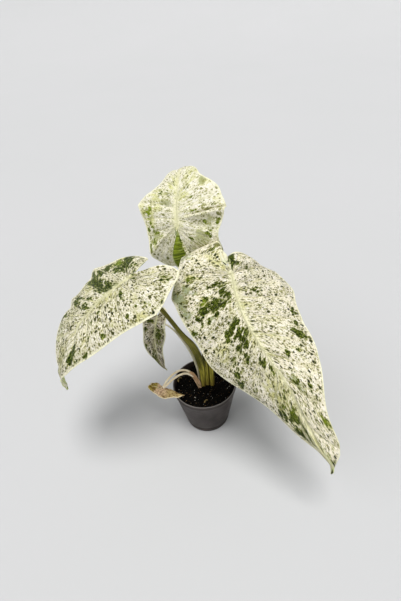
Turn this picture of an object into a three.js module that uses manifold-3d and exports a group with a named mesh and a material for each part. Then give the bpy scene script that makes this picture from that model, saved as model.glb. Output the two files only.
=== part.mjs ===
// A variegated night-scented lily, a heart-leaved aroid, growing in a small nursery pot.
// Millimetres, +Z up. The origin is the middle of the pot's underside, and the plant's face is
// turned towards -Y. Angles are in degrees.

import * as THREE from 'three';
import { mergeVertices } from 'three/addons/utils/BufferGeometryUtils.js';
import Module from 'manifold-3d';

const wasm = await Module();
wasm.setup();

// The gap that neighbouring pieces keep.
const GAP = 0.3;

// The pot: a thin tapered nursery pot with a turned-out band at the rim.
const POT_HEIGHT = 50;
const POT_RIM_RADIUS = 30;
const POT_BASE_RADIUS = 21;
const POT_WALL = 1.2;
const POT_FLOOR = 1.6;
const POT_SIDES = 40;
const BAND_FOOT = 45;
const BAND_STEP = 0.7;
const RIM_EDGE = 0.5;
const BASE_EDGE = 1;
const DRAIN_HOLES = 6;
const DRAIN_HOLE_RADIUS = 2.5;
const DRAIN_RING_RADIUS = 14;
const DRAIN_HOLE_SIDES = 12;

// The potting mix, with crumbs of bark and grit on its surface. Rings and crumbs are placed in
// shares of the surface's radius.
const SOIL_LEVEL = 45.5;
const SOIL_EDGE_LEVEL = 43.9;
const SOIL_RINGS = [0.88, 0.7, 0.53, 0.35, 0.18];
const SOIL_LUMP = 0.7;
const SOIL_MOUND = 0.8;
const SOIL_MOUND_RADIUS = 9.5;
const CRUMBS = 26;
const CRUMB_RADIUS = [0.9, 1.9];
const CRUMB_PLACE = [0.42, 0.9];
const CRUMB_FLATNESS = [0.55, 0.95];
const CRUMB_SEED = 7;

// The corm that the leaf stalks grow from, and its roots, all under the soil.
const CORM_AT = [3, 0];
const CORM_TOP = 37;
const CORM_PROFILE = [[0, 18], [4, 18.6], [7.2, 22], [8.4, 27], [7.8, 32], [7.6, CORM_TOP], [0, CORM_TOP]];
const CORM_SIDES = 14;
const ROOTS = 6;
const ROOT_SIDES = 6;
const ROOT_STEPS = 6;
// Each row is a point of a root's route, out from the corm's middle and up, and the radius there.
const ROOT_ROUTE = [[4, 25, 1.3], [9.4, 21, 1.3], [12.4, 14, 0.8], [13, 7, 0.6]];
const STALK_FOOT = CORM_TOP + GAP;

// Half of a leaf's outline, from the notch where the stalk joins, round the back lobe, to the
// tip. The first number is along the midrib: in back lobe lengths behind the stalk, and in
// midrib lengths before it. The second is across, in half widths.
const HALF_OUTLINE = [
  [-0.12, 0], [-0.45, 0.1], [-0.85, 0.26], [-1, 0.46], [-0.8, 0.7], [-0.36, 0.9], [0.06, 1],
  [0.24, 0.95], [0.42, 0.79], [0.6, 0.57], [0.76, 0.34], [0.89, 0.15], [0.955, 0.055], [1, 0],
];
// The share of the margin whose side veins all start at the stalk, how the others crowd towards
// the tip, and how far the veins of the back lobes bow outwards.
const FAN = 0.4;
const VEIN_CROWDING = 1.35;
const VEIN_BOW = 0.4;
// The shares of the margin by the notch and by the tip where it doesn't wave.
const CALM_NOTCH = 0.14;
const CALM_TIP = 0.25;
// The rib below the midrib: its width, its taper towards the tip, and how far out from it the
// blade's thickness still runs its way.
const RIB_WIDTH = 3;
const RIB_TAPER = 0.7;
const RIB_EASE = 7;
const LEAST_CUP = 0.01;
// The midrib's line runs on through the back lobes, for this many of their lengths.
const LOBE_SPINE = 1.25;
const SPINE_STEPS = 24;

// The leaves. Pairs hold the left and the right half, as seen from the stalk. A leaf starts at
// its stalk with a heading, a pitch and a roll, and then droops, bends and twists towards its
// tip. Fold raises each half from the midrib, cup curls it up towards its margin, full widens
// it, and scallop and ruffle wave its margin in and out and up and down. A bump is one more
// wave, at a place on the margin, of a given width, out and up.
const LEAVES = {
  right: {
    at: [28, -14, 182], length: 167, lobe: 39, half: [58, 47], lobeShare: [0.7, 1.3],
    heading: -69, pitch: -34, roll: 9, bend: 3, droop: 37, droopPower: 1, twist: 61, lobeDroop: 55,
    fold: [-36, -20], cup: [-15, -3], full: [-0.2, 0.2],
    scallops: 5, scallop: [2.4, 2.9], scallopPhase: [10, 63],
    waves: 4, ruffle: 1.5, wavePhase: [157, 47],
    bumps: [
      { side: 1, t: 0.49, width: 0.04, out: 3.5, up: 0 },
      { side: 1, t: 0.87, width: 0.05, out: 3, up: 0 },
    ],
    steps: [28, 7], skin: 0.7, rib: 2.4,
  },
  left: {
    at: [-47.5, -2, 178.5], length: 126, lobe: 28.5, half: [45, 44], lobeShare: [1.1, 0.8],
    heading: 207, pitch: -12, roll: 10, bend: -19, droop: 80, droopPower: 1, twist: -17, lobeDroop: -4,
    fold: [4, -2], cup: [-44, -5], full: [-0.2, 0.1],
    scallops: 5, scallop: [1.2, 0.8], scallopPhase: [37, -61],
    waves: 3, ruffle: 2.4, wavePhase: [20, 14],
    bumps: [{ side: -1, t: 0.52, width: 0.035, out: 3.5, up: 1 }],
    steps: [28, 7], skin: 0.7, rib: 2.2,
  },
  top: {
    at: [-8.8, 36.4, 196.7], length: 69, lobe: 37.5, half: [33.5, 39.5], lobeShare: [1, 1.1],
    heading: 82, pitch: 62, roll: -25, bend: 26, droop: 82, droopPower: 1.2, twist: 12.5, lobeDroop: 55,
    fold: [-1, -1], cup: [0, -9], full: [0.1, 0],
    scallops: 4, scallop: [1.5, 4], scallopPhase: [-44, -5],
    waves: 4, ruffle: 1.4, wavePhase: [-11, -70],
    bumps: [
      { side: 1, t: 0.59, width: 0.035, out: 2.5, up: 1 },
      { side: 1, t: 0.67, width: 0.03, out: 1.5, up: 0 },
      { side: -1, t: 0.12, width: 0.07, out: -3, up: 0 },
      { side: -1, t: 0.35, width: 0.04, out: 3, up: 0 },
      { side: -1, t: 0.48, width: 0.035, out: 3.5, up: 1.5 },
      { side: -1, t: 0.56, width: 0.03, out: -2.5, up: -1 },
    ],
    steps: [28, 7], skin: 0.7, rib: 2,
  },
  small: {
    at: [-36, 21, 117], length: 61, lobe: 11.5, half: [11, 12], lobeShare: [1, 1],
    heading: 236, pitch: -54, roll: 1, bend: 19, droop: 56, droopPower: 1, twist: -17, lobeDroop: 5,
    fold: [2, 7], cup: [0, 2], full: [0, 0.1],
    scallops: 5, scallop: [-0.7, 0.6], scallopPhase: [19, 10],
    waves: 4, ruffle: 0.6, wavePhase: [166, 231], bumps: [],
    steps: [18, 4], skin: 0.6, rib: 1.4,
  },
  withered: {
    at: [-38.6, -5.5, 54.5], length: 22, lobe: 14, half: [4.4, 9.5], lobeShare: [0.95, 1],
    heading: -30, pitch: -4, roll: -4, bend: 4, droop: 4, droopPower: 1, twist: -14, lobeDroop: -6,
    fold: [-30, -32], cup: [-20, 20], full: [0, 0],
    scallops: 4, scallop: [0.2, 0.6], scallopPhase: [0, 80],
    waves: 4, ruffle: 0.5, wavePhase: [0, 120], bumps: [],
    steps: [18, 4], skin: 0.7, rib: 1.3,
  },
};

// The stalks. Each row is a point of the route and the half widths there, across and in depth.
const STALKS = {
  left: [
    [-1.2, -0.3, STALK_FOOT, 1.9, 2.6], [-1.2, -0.3, 50, 1.95, 2.9], [-2.2, -0.2, 74, 2.3, 2.8],
    [-7.6, 0, 98, 2.4, 2.4], [-15.4, 0, 116, 2, 1.9], [-27, -0.5, 143, 1.8, 1.7],
    [-39, -1.5, 166, 1.7, 1.6], [-47, -2, 178.5, 1.6, 1.6],
  ],
  right: [
    [7.2, -0.3, STALK_FOOT, 1.9, 2.6], [7.2, -0.3, 50, 1.95, 2.9], [8.1, 0.2, 74, 2.3, 2.7],
    [12.2, 1, 105, 2.3, 2.3], [18.5, -0.5, 135, 2, 2], [24, -6, 160, 1.9, 1.9], [28, -13, 182, 1.8, 1.8],
  ],
  top: [
    [3, 0.3, STALK_FOOT, 1.9, 2.4], [3, 0.4, 50, 1.95, 2.6], [2.9, 2.2, 74, 2.3, 2.5], [1, 12, 118, 2, 2],
    [-3, 24, 155, 1.8, 1.8], [-7, 33, 180, 1.6, 1.6], [-8.8, 37.5, 196, 1.5, 1.5],
  ],
  small: [
    [-4.2, 2.2, STALK_FOOT, 1, 1], [-4.2, 2.2, 50, 1, 1], [-5.7, 2, 72, 1, 1], [-11, 2, 95, 1, 1],
    [-18.4, 2.6, 113, 0.9, 0.9], [-24.5, 9, 116, 0.8, 0.8], [-30.8, 17.5, 114, 0.8, 0.8],
    [-35.4, 21.5, 116.4, 0.8, 0.8],
  ],
};
const STALK_SIDES = 10;
const STALK_STEPS = 22;
// The radius round a stalk's end in which nothing of it rises past the underside of its blade.
const STALK_END = 5;

// The withered leaf's stalk: a dry split sheath up to a kink, and two strands on to the blade.
const SHEATH_STEPS = 8;
const STRAND_SIDES = 8;
const STRAND_STEPS = 14;
const WITHERED_SHEATH = [
  [-4.6, -2.4, STALK_FOOT, 1.5, 1.2], [-4.8, -2.4, 47, 1.7, 1.3], [-6.8, -2.3, 56, 2, 1.2],
  [-10.4, -2.2, 65.6, 1.8, 1.1],
];
const WITHERED_STRANDS = [
  [
    [-10, -1.5, 64.5, 0.9, 0.9], [-13.7, -1, 69.7, 0.9, 0.9], [-20.8, -1, 72.3, 0.8, 0.8],
    [-28.5, -1.6, 68.6, 0.8, 0.8], [-35, -3.2, 61.4, 0.8, 0.8], [-38.8, -5, 53.4, 0.8, 0.8],
  ],
  [
    [-10.2, -2.8, 64.5, 0.9, 0.9], [-15.5, -3.6, 68.6, 0.9, 0.9], [-22.2, -4.6, 68.2, 0.8, 0.8],
    [-29.3, -5.2, 63.2, 0.8, 0.8], [-34.6, -5.7, 57.6, 0.8, 0.8], [-38.4, -6, 53.2, 0.8, 0.8],
  ],
];

const PAINT = {
  pot: { color: 0x64625f, roughness: 0.6, metalness: 0 },
  soil: { color: 0x1d1713, roughness: 1, metalness: 0 },
  corm: { color: 0x6b4a33, roughness: 0.9, metalness: 0 },
  stalk: { color: 0x6f7030, roughness: 0.5, metalness: 0 },
  blade: { color: 0xd5d6b4, roughness: 0.5, metalness: 0 },
  youngBlade: { color: 0x9a9a84, roughness: 0.5, metalness: 0 },
  witheredStalk: { color: 0xcdbd96, roughness: 0.7, metalness: 0 },
  witheredBlade: { color: 0xb59a55, roughness: 0.8, metalness: 0 },
};

const radians = THREE.MathUtils.degToRad;
const clamp = THREE.MathUtils.clamp;
const lerp = THREE.MathUtils.lerp;

// A smooth curve through rows of numbers, at u from 0 at the first row to 1 at the last.
function along(rows, u) {
  const last = rows.length - 1;
  const x = clamp(u, 0, 1) * last;
  const i = Math.min(Math.floor(x), last - 1);
  const f = x - i;
  const [a, b, c, d] = [i - 1, i, i + 1, i + 2].map((k) => rows[clamp(k, 0, last)]);
  return b.map((_, k) => 0.5 * (2 * b[k] + (c[k] - a[k]) * f
    + (2 * a[k] - 5 * b[k] + 4 * c[k] - d[k]) * f ** 2
    + (3 * b[k] - a[k] - 3 * c[k] + d[k]) * f ** 3));
}

// A small random number generator, so that the crumbs always fall alike.
function dice(seed) {
  let state = seed;
  return () => {
    state = (state * 1664525 + 1013904223) % 4294967296;
    return state / 4294967296;
  };
}

// Geometries and solids
function geometryOf(points, faces) {
  const geometry = new THREE.BufferGeometry();
  const places = points.flatMap((p) => [p.x, p.y, p.z]);
  geometry.setAttribute('position', new THREE.Float32BufferAttribute(places, 3));
  geometry.setIndex(faces.flat());
  return geometry;
}

function solidOf(geometry) {
  const bare = geometry.clone();
  bare.deleteAttribute('normal');
  bare.deleteAttribute('uv');
  const merged = mergeVertices(bare, 1e-4);
  return new wasm.Manifold(new wasm.Mesh({
    numProp: 3,
    vertProperties: merged.attributes.position.array,
    triVerts: new Uint32Array(merged.index.array),
  }));
}

function geometryFrom(solid) {
  const mesh = solid.getMesh();
  const geometry = new THREE.BufferGeometry();
  geometry.setAttribute('position', new THREE.BufferAttribute(mesh.vertProperties, 3));
  geometry.setIndex(new THREE.BufferAttribute(mesh.triVerts, 1));
  return geometry;
}

// The largest separate body of a solid, without the scraps that a cut leaves.
function mainBody(solid) {
  return solid.decompose().sort((a, b) => b.volume() - a.volume())[0];
}

// A closed tube along a route of rows [x, y, z, half width, half depth], grown all round.
function tube(rows, sides, steps, grown = 0) {
  const points = [];
  const faces = [];
  const place = (u) => new THREE.Vector3(...along(rows, u));
  for (let i = 0; i <= steps; i += 1) {
    const u = i / steps;
    const [x, y, z, width, depth] = along(rows, u);
    const run = place(Math.min(u + 0.01, 1)).sub(place(Math.max(u - 0.01, 0))).normalize();
    const across = new THREE.Vector3().crossVectors(new THREE.Vector3(0, 1, 0), run).normalize();
    const deep = new THREE.Vector3().crossVectors(run, across);
    const centre = new THREE.Vector3(x, y, z);
    if (i === 0) centre.addScaledVector(run, -grown);
    if (i === steps) centre.addScaledVector(run, grown);
    for (let j = 0; j < sides; j += 1) {
      const angle = 2 * Math.PI * j / sides;
      points.push(centre.clone().addScaledVector(across, (width + grown) * Math.cos(angle))
        .addScaledVector(deep, (depth + grown) * Math.sin(angle)));
    }
  }
  for (let i = 0; i < steps; i += 1) {
    for (let j = 0; j < sides; j += 1) {
      const [a, b] = [i * sides + j, i * sides + (j + 1) % sides];
      faces.push([a, b, b + sides], [a, b + sides, a + sides]);
    }
  }
  const top = steps * sides;
  for (let j = 1; j < sides - 1; j += 1) {
    faces.push([0, j + 1, j], [top, top + j, top + j + 1]);
  }
  return geometryOf(points, faces);
}

// The midrib's stations: how far along, the place, and the directions along, left and up.
function spineOf(leaf) {
  const { heading, pitch, roll } = leaf;
  const run = new THREE.Vector3(Math.cos(radians(pitch)) * Math.cos(radians(heading)),
    Math.cos(radians(pitch)) * Math.sin(radians(heading)), Math.sin(radians(pitch)));
  const left = new THREE.Vector3(-Math.sin(radians(heading)), Math.cos(radians(heading)), 0);
  left.applyAxisAngle(run, radians(roll));
  const walk = (length, droop, power, bend, twist, way) => {
    const at = new THREE.Vector3(...leaf.at);
    const [t, b] = [run.clone(), left.clone()];
    const n = new THREE.Vector3().crossVectors(t, b);
    const stations = [{ x: 0, at: at.clone(), left: b.clone(), up: n.clone() }];
    for (let i = 0; i < SPINE_STEPS; i += 1) {
      const [from, to] = [i / SPINE_STEPS, (i + 1) / SPINE_STEPS];
      const before = t.clone();
      const down = radians(droop) * (to ** power - from ** power);
      t.applyAxisAngle(b, down);
      n.applyAxisAngle(b, down);
      t.applyAxisAngle(n, radians(bend) / SPINE_STEPS);
      b.applyAxisAngle(n, radians(bend) / SPINE_STEPS);
      b.applyAxisAngle(t, radians(twist) / SPINE_STEPS);
      n.crossVectors(t, b);
      at.addScaledVector(before.add(t), way * length / SPINE_STEPS / 2);
      stations.push({ x: way * length * to, at: at.clone(), left: b.clone(), up: n.clone() });
    }
    return stations;
  };
  const back = walk(leaf.lobe * LOBE_SPINE, -leaf.lobeDroop, 1, 0, 0, -1);
  const ahead = walk(leaf.length, leaf.droop, leaf.droopPower, leaf.bend, leaf.twist, 1);
  return [...back.slice(1).reverse(), ...ahead];
}

// A leaf's middle surface and its depth at margin place t, from 0 at the notch to 1 at the tip,
// and a share r of the way out along the side vein that ends there. Side is 1 for the left half,
// -1 for the right. The rib is square to the midrib, and the skin is square to the surface.
function leafPoint(leaf, spine, side, t, r) {
  const k = side > 0 ? 0 : 1;
  const [ahead, across] = along(HALF_OUTLINE, t);
  const onMidrib = clamp(ahead, 0, 1);
  const beyondNotch = clamp(t / CALM_NOTCH, 0, 1);
  const lobe = leaf.lobe * lerp(1, leaf.lobeShare[k], beyondNotch);
  const marginX = ahead * (ahead < 0 ? lobe : leaf.length);
  const bumps = leaf.bumps.filter((bump) => bump.side === side)
    .map((bump) => ({ ...bump, share: Math.exp(-(((t - bump.t) / bump.width) ** 2)) }));
  const scallop = Math.sin(2 * Math.PI * leaf.scallops * t + radians(leaf.scallopPhase[k]));
  const marginY = across * leaf.half[k] * (1 + leaf.full[k] * Math.sin(Math.PI * onMidrib))
    + leaf.scallop[k] * scallop * beyondNotch * Math.sin(Math.PI * t)
    + bumps.reduce((sum, bump) => sum + bump.out * bump.share, 0);
  const root = clamp((t - FAN) / (1 - FAN), 0, 1) ** VEIN_CROWDING * leaf.length;
  const x = root * (1 - r) + marginX * r;
  const bow = VEIN_BOW * Math.sin(Math.PI * clamp(t / FAN, 0, 1));
  const y = Math.max(marginY * (r + bow * r * (1 - r)), 0);
  const share = clamp(x / leaf.length, 0, 1);
  const last = spine.length - 1;
  let i = 0;
  while (i < last - 1 && spine[i + 1].x < x) i += 1;
  const f = clamp((x - spine[i].x) / (spine[i + 1].x - spine[i].x), 0, 1);
  const left = spine[i].left.clone().lerp(spine[i + 1].left, f).normalize();
  const up = spine[i].up.clone().lerp(spine[i + 1].up, f).normalize();
  const fold = radians(leaf.fold[k]);
  const cup = radians(leaf.cup[k] || LEAST_CUP) / leaf.half[k];
  const out = (Math.sin(fold + cup * y) - Math.sin(fold)) / cup;
  const raised = (Math.cos(fold) - Math.cos(fold + cup * y)) / cup;
  const wave = Math.sin(2 * Math.PI * leaf.waves * t + radians(leaf.wavePhase[k]));
  const ruffle = leaf.ruffle * wave * beyondNotch * clamp((1 - t) / CALM_TIP, 0, 1)
    + bumps.reduce((sum, bump) => sum + bump.up * bump.share, 0);
  const point = spine[i].at.clone().lerp(spine[i + 1].at, f).addScaledVector(left, side * out)
    .addScaledVector(up, raised + ruffle * r * r);
  const fromRib = Math.hypot(y, Math.min(x, 0));
  const ribShare = Math.exp(-((fromRib / RIB_WIDTH) ** 2));
  const depth = leaf.skin + (leaf.rib - leaf.skin) * (1 - RIB_TAPER * share) * ribShare;
  return { point, depth, up, upShare: Math.exp(-((fromRib / RIB_EASE) ** 2)) };
}

// A leaf blade: one sheet of points, given a thickness that grows into a rib along the midrib.
// Both faces are split into the same triangles. A blade can be grown all round, for a clearance.
function blade(leaf, grown = 0) {
  const [steps, rings] = leaf.steps;
  const spine = spineOf(leaf);
  const vertices = [];
  const known = new Map();
  const vertex = (side, i, j) => {
    const made = leafPoint(leaf, spine, side, i / steps, j / rings);
    const key = made.point.toArray().map((v) => Math.round(v * 1000)).join();
    if (!known.has(key)) {
      known.set(key, vertices.length);
      vertices.push(made);
    }
    return known.get(key);
  };
  const sheet = [];
  for (const side of [1, -1]) {
    for (let i = 0; i < steps; i += 1) {
      for (let j = 0; j < rings; j += 1) {
        const [a, b] = [vertex(side, i, j), vertex(side, i + 1, j)];
        const [c, d] = [vertex(side, i + 1, j + 1), vertex(side, i, j + 1)];
        for (const face of [[a, b, c], [a, c, d]]) {
          if (new Set(face).size === 3) sheet.push(side > 0 ? face : face.reverse());
        }
      }
    }
  }
  const points = vertices.map(({ point }) => point);
  const normals = points.map(() => new THREE.Vector3());
  for (const [a, b, c] of sheet) {
    const normal = points[b].clone().sub(points[a]).cross(points[c].clone().sub(points[a]));
    for (const v of [a, b, c]) normals[v].add(normal);
  }
  const edges = new Map();
  for (const [a, b, c] of sheet) {
    for (const [from, to] of [[a, b], [b, c], [c, a]]) {
      if (edges.has(`${to},${from}`)) edges.delete(`${to},${from}`);
      else edges.set(`${from},${to}`, [from, to]);
    }
  }
  const count = points.length;
  vertices.forEach(({ upShare, up }, v) => normals[v].normalize().lerp(up, upShare).normalize());
  const outward = points.map(() => new THREE.Vector3());
  for (const [from, to] of edges.values()) {
    const out = points[to].clone().sub(points[from]).cross(normals[from]).normalize();
    outward[from].add(out);
    outward[to].add(out);
  }
  if (grown > 0) points.forEach((p, v) => p.addScaledVector(outward[v].normalize(), grown));
  const upper = points.map((p, v) => p.clone().addScaledVector(normals[v], leaf.skin / 2 + grown));
  const lower = points.map((p, v) => p.clone()
    .addScaledVector(normals[v], leaf.skin / 2 - vertices[v].depth - grown));
  const faces = [...sheet, ...sheet.map(([a, b, c]) => [c + count, b + count, a + count])];
  for (const [from, to] of edges.values()) {
    faces.push([to, from, from + count], [to, from + count, to + count]);
  }
  return geometryOf([...upper, ...lower], faces);
}

// The radius of the pot's outside below the band, at height z.
function outside(z) {
  return POT_BASE_RADIUS + (POT_RIM_RADIUS - BAND_STEP - POT_BASE_RADIUS) * z / BAND_FOOT;
}

// The pot, with a ring of drain holes in its floor.
function pot() {
  const profile = [
    [0, 0], [POT_BASE_RADIUS - BASE_EDGE, 0], [outside(BASE_EDGE), BASE_EDGE],
    [outside(BAND_FOOT), BAND_FOOT], [POT_RIM_RADIUS - RIM_EDGE / 2, BAND_FOOT + RIM_EDGE],
    [POT_RIM_RADIUS, POT_HEIGHT - RIM_EDGE], [POT_RIM_RADIUS - RIM_EDGE, POT_HEIGHT],
    [POT_RIM_RADIUS - POT_WALL, POT_HEIGHT], [outside(BAND_FOOT) - POT_WALL, BAND_FOOT],
    [outside(POT_FLOOR) - POT_WALL, POT_FLOOR], [0, POT_FLOOR],
  ];
  const wall = new THREE.LatheGeometry(profile.map((p) => new THREE.Vector2(...p)), POT_SIDES);
  let body = solidOf(wall.rotateX(Math.PI / 2));
  for (let i = 0; i < DRAIN_HOLES; i += 1) {
    const angle = 2 * Math.PI * i / DRAIN_HOLES;
    const [x, y] = [DRAIN_RING_RADIUS * Math.cos(angle), DRAIN_RING_RADIUS * Math.sin(angle)];
    const hole = new THREE.CylinderGeometry(DRAIN_HOLE_RADIUS, DRAIN_HOLE_RADIUS, 3 * POT_FLOOR,
      DRAIN_HOLE_SIDES);
    body = body.subtract(solidOf(hole.rotateX(Math.PI / 2).translate(x, y, 0)));
  }
  return geometryFrom(body);
}

// The corm and its roots as one solid, grown all round when it is a hollow for the soil.
function cormAndRoots(grown = 0) {
  const [x, y] = CORM_AT;
  const profile = CORM_PROFILE.map(([radius, z]) => {
    const height = z === CORM_TOP ? z + grown : z - grown;
    return new THREE.Vector2(radius === 0 ? 0 : radius + grown, height);
  });
  const corm = new THREE.LatheGeometry(profile, CORM_SIDES).rotateX(Math.PI / 2);
  let body = solidOf(corm.translate(x, y, 0));
  for (let i = 0; i < ROOTS; i += 1) {
    const angle = 2 * Math.PI * (i + 0.5) / ROOTS;
    const route = ROOT_ROUTE.map(([out, z, radius]) => [
      x + out * Math.cos(angle), y + out * Math.sin(angle), z, radius, radius,
    ]);
    body = body.add(solidOf(tube(route, ROOT_SIDES, ROOT_STEPS, grown)));
  }
  return body;
}

// The height of the soil's surface, which rises a little round the stalks.
function soilHeight(x, y) {
  const lump = Math.sin(0.45 * x + 1) * Math.cos(0.5 * y) + 0.6 * Math.sin(0.9 * x - 0.7 * y);
  const fromStalks = Math.hypot(x - CORM_AT[0], y - CORM_AT[1]);
  return SOIL_LEVEL + SOIL_LUMP * lump
    + SOIL_MOUND * Math.exp(-((fromStalks / SOIL_MOUND_RADIUS) ** 2));
}

// The potting mix that fills the pot, with crumbs on top and hollows for what grows in it.
function soil(hollows) {
  const inside = (z) => outside(z) - POT_WALL - GAP;
  const floor = POT_FLOOR + GAP;
  const rim = inside(SOIL_EDGE_LEVEL);
  const points = [new THREE.Vector3(0, 0, floor), new THREE.Vector3(0, 0, soilHeight(0, 0))];
  const rings = [[inside(floor), floor], [rim, SOIL_EDGE_LEVEL]];
  for (const share of SOIL_RINGS) rings.push([share * rim, null]);
  for (const [radius, level] of rings) {
    for (let j = 0; j < POT_SIDES; j += 1) {
      const angle = 2 * Math.PI * j / POT_SIDES;
      const [x, y] = [radius * Math.cos(angle), radius * Math.sin(angle)];
      points.push(new THREE.Vector3(x, y, level ?? soilHeight(x, y)));
    }
  }
  const at = (ring, j) => 2 + ring * POT_SIDES + j % POT_SIDES;
  const faces = [];
  for (let j = 0; j < POT_SIDES; j += 1) {
    faces.push([0, at(0, j + 1), at(0, j)]);
    for (let ring = 0; ring < rings.length - 1; ring += 1) {
      faces.push([at(ring, j), at(ring, j + 1), at(ring + 1, j + 1)],
        [at(ring, j), at(ring + 1, j + 1), at(ring + 1, j)]);
    }
    faces.push([at(rings.length - 1, j), at(rings.length - 1, j + 1), 1]);
  }
  let body = solidOf(geometryOf(points, faces));
  const random = dice(CRUMB_SEED);
  for (let i = 0; i < CRUMBS; i += 1) {
    const angle = 2 * Math.PI * random();
    const from = rim * lerp(...CRUMB_PLACE, Math.sqrt(random()));
    const size = lerp(...CRUMB_RADIUS, random());
    const [x, y] = [from * Math.cos(angle), from * Math.sin(angle)];
    const crumb = new THREE.IcosahedronGeometry(size, 0)
      .scale(1, lerp(...CRUMB_FLATNESS, random()), lerp(...CRUMB_FLATNESS, random()))
      .rotateZ(2 * Math.PI * random())
      .translate(x, y, soilHeight(x, y));
    body = body.add(solidOf(crumb));
  }
  for (const hollow of hollows) body = body.subtract(hollow);
  return geometryFrom(mainBody(body));
}

const plant = new THREE.Group();

function add(name, geometry, paint) {
  const flat = geometry.toNonIndexed();
  flat.computeVertexNormals();
  const mesh = new THREE.Mesh(flat, new THREE.MeshStandardMaterial(paint));
  mesh.name = name;
  plant.add(mesh);
}

// A stalk stops short of its blade.
function clearOf(leaf, body) {
  return mainBody(body.subtract(solidOf(blade(leaf, GAP))));
}

// A stalk that ends just under its blade, cut level below the rib and clear of both halves.
function cutUnder(leaf, body) {
  const { up } = spineOf(leaf).find((station) => station.x === 0);
  const underside = leaf.skin / 2 - leaf.rib - GAP;
  const end = new THREE.CylinderGeometry(STALK_END, STALK_END, 2 * STALK_END, STALK_SIDES)
    .translate(0, STALK_END + underside, 0)
    .applyQuaternion(new THREE.Quaternion().setFromUnitVectors(new THREE.Vector3(0, 1, 0), up))
    .translate(...leaf.at);
  return clearOf(leaf, body.subtract(solidOf(end)));
}

function witheredStalk(grown = 0) {
  let body = solidOf(tube(WITHERED_SHEATH, STALK_SIDES, SHEATH_STEPS, grown));
  for (const strand of WITHERED_STRANDS) {
    body = body.add(solidOf(tube(strand, STRAND_SIDES, STRAND_STEPS, grown)));
  }
  return body;
}

add('pot', pot(), PAINT.pot);
for (const name of Object.keys(STALKS)) {
  add(`blade_${name}`, blade(LEAVES[name]), name === 'small' ? PAINT.youngBlade : PAINT.blade);
  const body = solidOf(tube(STALKS[name], STALK_SIDES, STALK_STEPS));
  add(`petiole_${name}`, geometryFrom(cutUnder(LEAVES[name], body)), PAINT.stalk);
}
add('blade_withered', blade(LEAVES.withered), PAINT.witheredBlade);
add('petiole_withered', geometryFrom(clearOf(LEAVES.withered, witheredStalk())),
  PAINT.witheredStalk);
add('corm_and_roots', geometryFrom(cormAndRoots()), PAINT.corm);
const hollows = Object.values(STALKS)
  .map((rows) => solidOf(tube(rows, STALK_SIDES, STALK_STEPS, GAP)));
add('soil', soil([cormAndRoots(GAP), witheredStalk(GAP), ...hollows]), PAINT.soil);

export default plant;
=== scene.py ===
# A variegated night-scented lily in a small nursery pot. Metres, +Z up, in the frame of the
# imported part. Lengths in the tables are in millimetres and angles in degrees.
import random
from math import cos, radians, sin, sqrt, tau

import bpy
import numpy as np
from bpy import context, ops
from mathutils import Matrix, Vector, noise


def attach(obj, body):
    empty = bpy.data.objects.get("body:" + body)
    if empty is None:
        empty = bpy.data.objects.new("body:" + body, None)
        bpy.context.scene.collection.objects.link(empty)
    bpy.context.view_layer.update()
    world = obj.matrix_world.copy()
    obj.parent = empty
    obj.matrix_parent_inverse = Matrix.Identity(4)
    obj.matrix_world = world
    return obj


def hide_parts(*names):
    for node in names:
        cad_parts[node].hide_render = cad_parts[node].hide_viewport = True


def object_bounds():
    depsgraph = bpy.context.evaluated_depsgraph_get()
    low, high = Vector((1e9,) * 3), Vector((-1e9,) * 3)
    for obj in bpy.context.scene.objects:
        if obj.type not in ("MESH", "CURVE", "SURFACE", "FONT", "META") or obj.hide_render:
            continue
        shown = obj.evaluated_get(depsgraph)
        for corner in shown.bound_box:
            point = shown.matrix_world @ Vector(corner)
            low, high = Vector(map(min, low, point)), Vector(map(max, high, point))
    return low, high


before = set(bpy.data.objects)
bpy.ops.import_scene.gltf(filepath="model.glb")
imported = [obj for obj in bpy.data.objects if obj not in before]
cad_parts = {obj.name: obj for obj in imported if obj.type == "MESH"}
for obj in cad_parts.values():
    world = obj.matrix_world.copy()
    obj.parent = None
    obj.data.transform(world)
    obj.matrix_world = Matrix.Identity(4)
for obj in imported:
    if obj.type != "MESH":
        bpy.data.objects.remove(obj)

MM = 0.001
part_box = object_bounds()

# Half of a leaf's outline, from the notch at the stalk round the back lobe to the tip: along
# the midrib, in lobe lengths behind the stalk and midrib lengths before it, and across.
HALF_OUTLINE = [
    (-0.12, 0), (-0.45, 0.1), (-0.85, 0.26), (-1, 0.46), (-0.8, 0.7), (-0.36, 0.9), (0.06, 1),
    (0.24, 0.95), (0.42, 0.79), (0.6, 0.57), (0.76, 0.34), (0.89, 0.15), (0.955, 0.055), (1, 0),
]
# Side veins start at the stalk up to the place FAN on the margin, then along the midrib.
FAN = 0.4
VEIN_CROWDING = 1.35
VEIN_BOW = 0.4
# The margin lies calm near the notch and near the tip, and a curl takes the last of the tip.
CALM_NOTCH = 0.14
CALM_TIP = 0.25
TIP_CURL = 0.06
RIB_EASE = 7
LOBE_SPINE = 1.25
SPINE_STEPS = 96
NUDGE = 0.001
# A blade's relief: the cushions' share of the space between side veins, furrows along veins
# and midrib by depth and width, and unevenness by height, size of its lumps and seed.
CUSHIONS = 0.14
VEIN_FURROW = (0.4, 0.8)
RIB_FURROW = (0.22, 1.4)
UNEVENNESS = ((0.5, 14, 3), (0.22, 4.5, 8), (0.1, 2, 6))
SHEET_LIFT = 0.25
SHEET_THICKNESS = 0.5
MERGE_GAP = 0.00001

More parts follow.
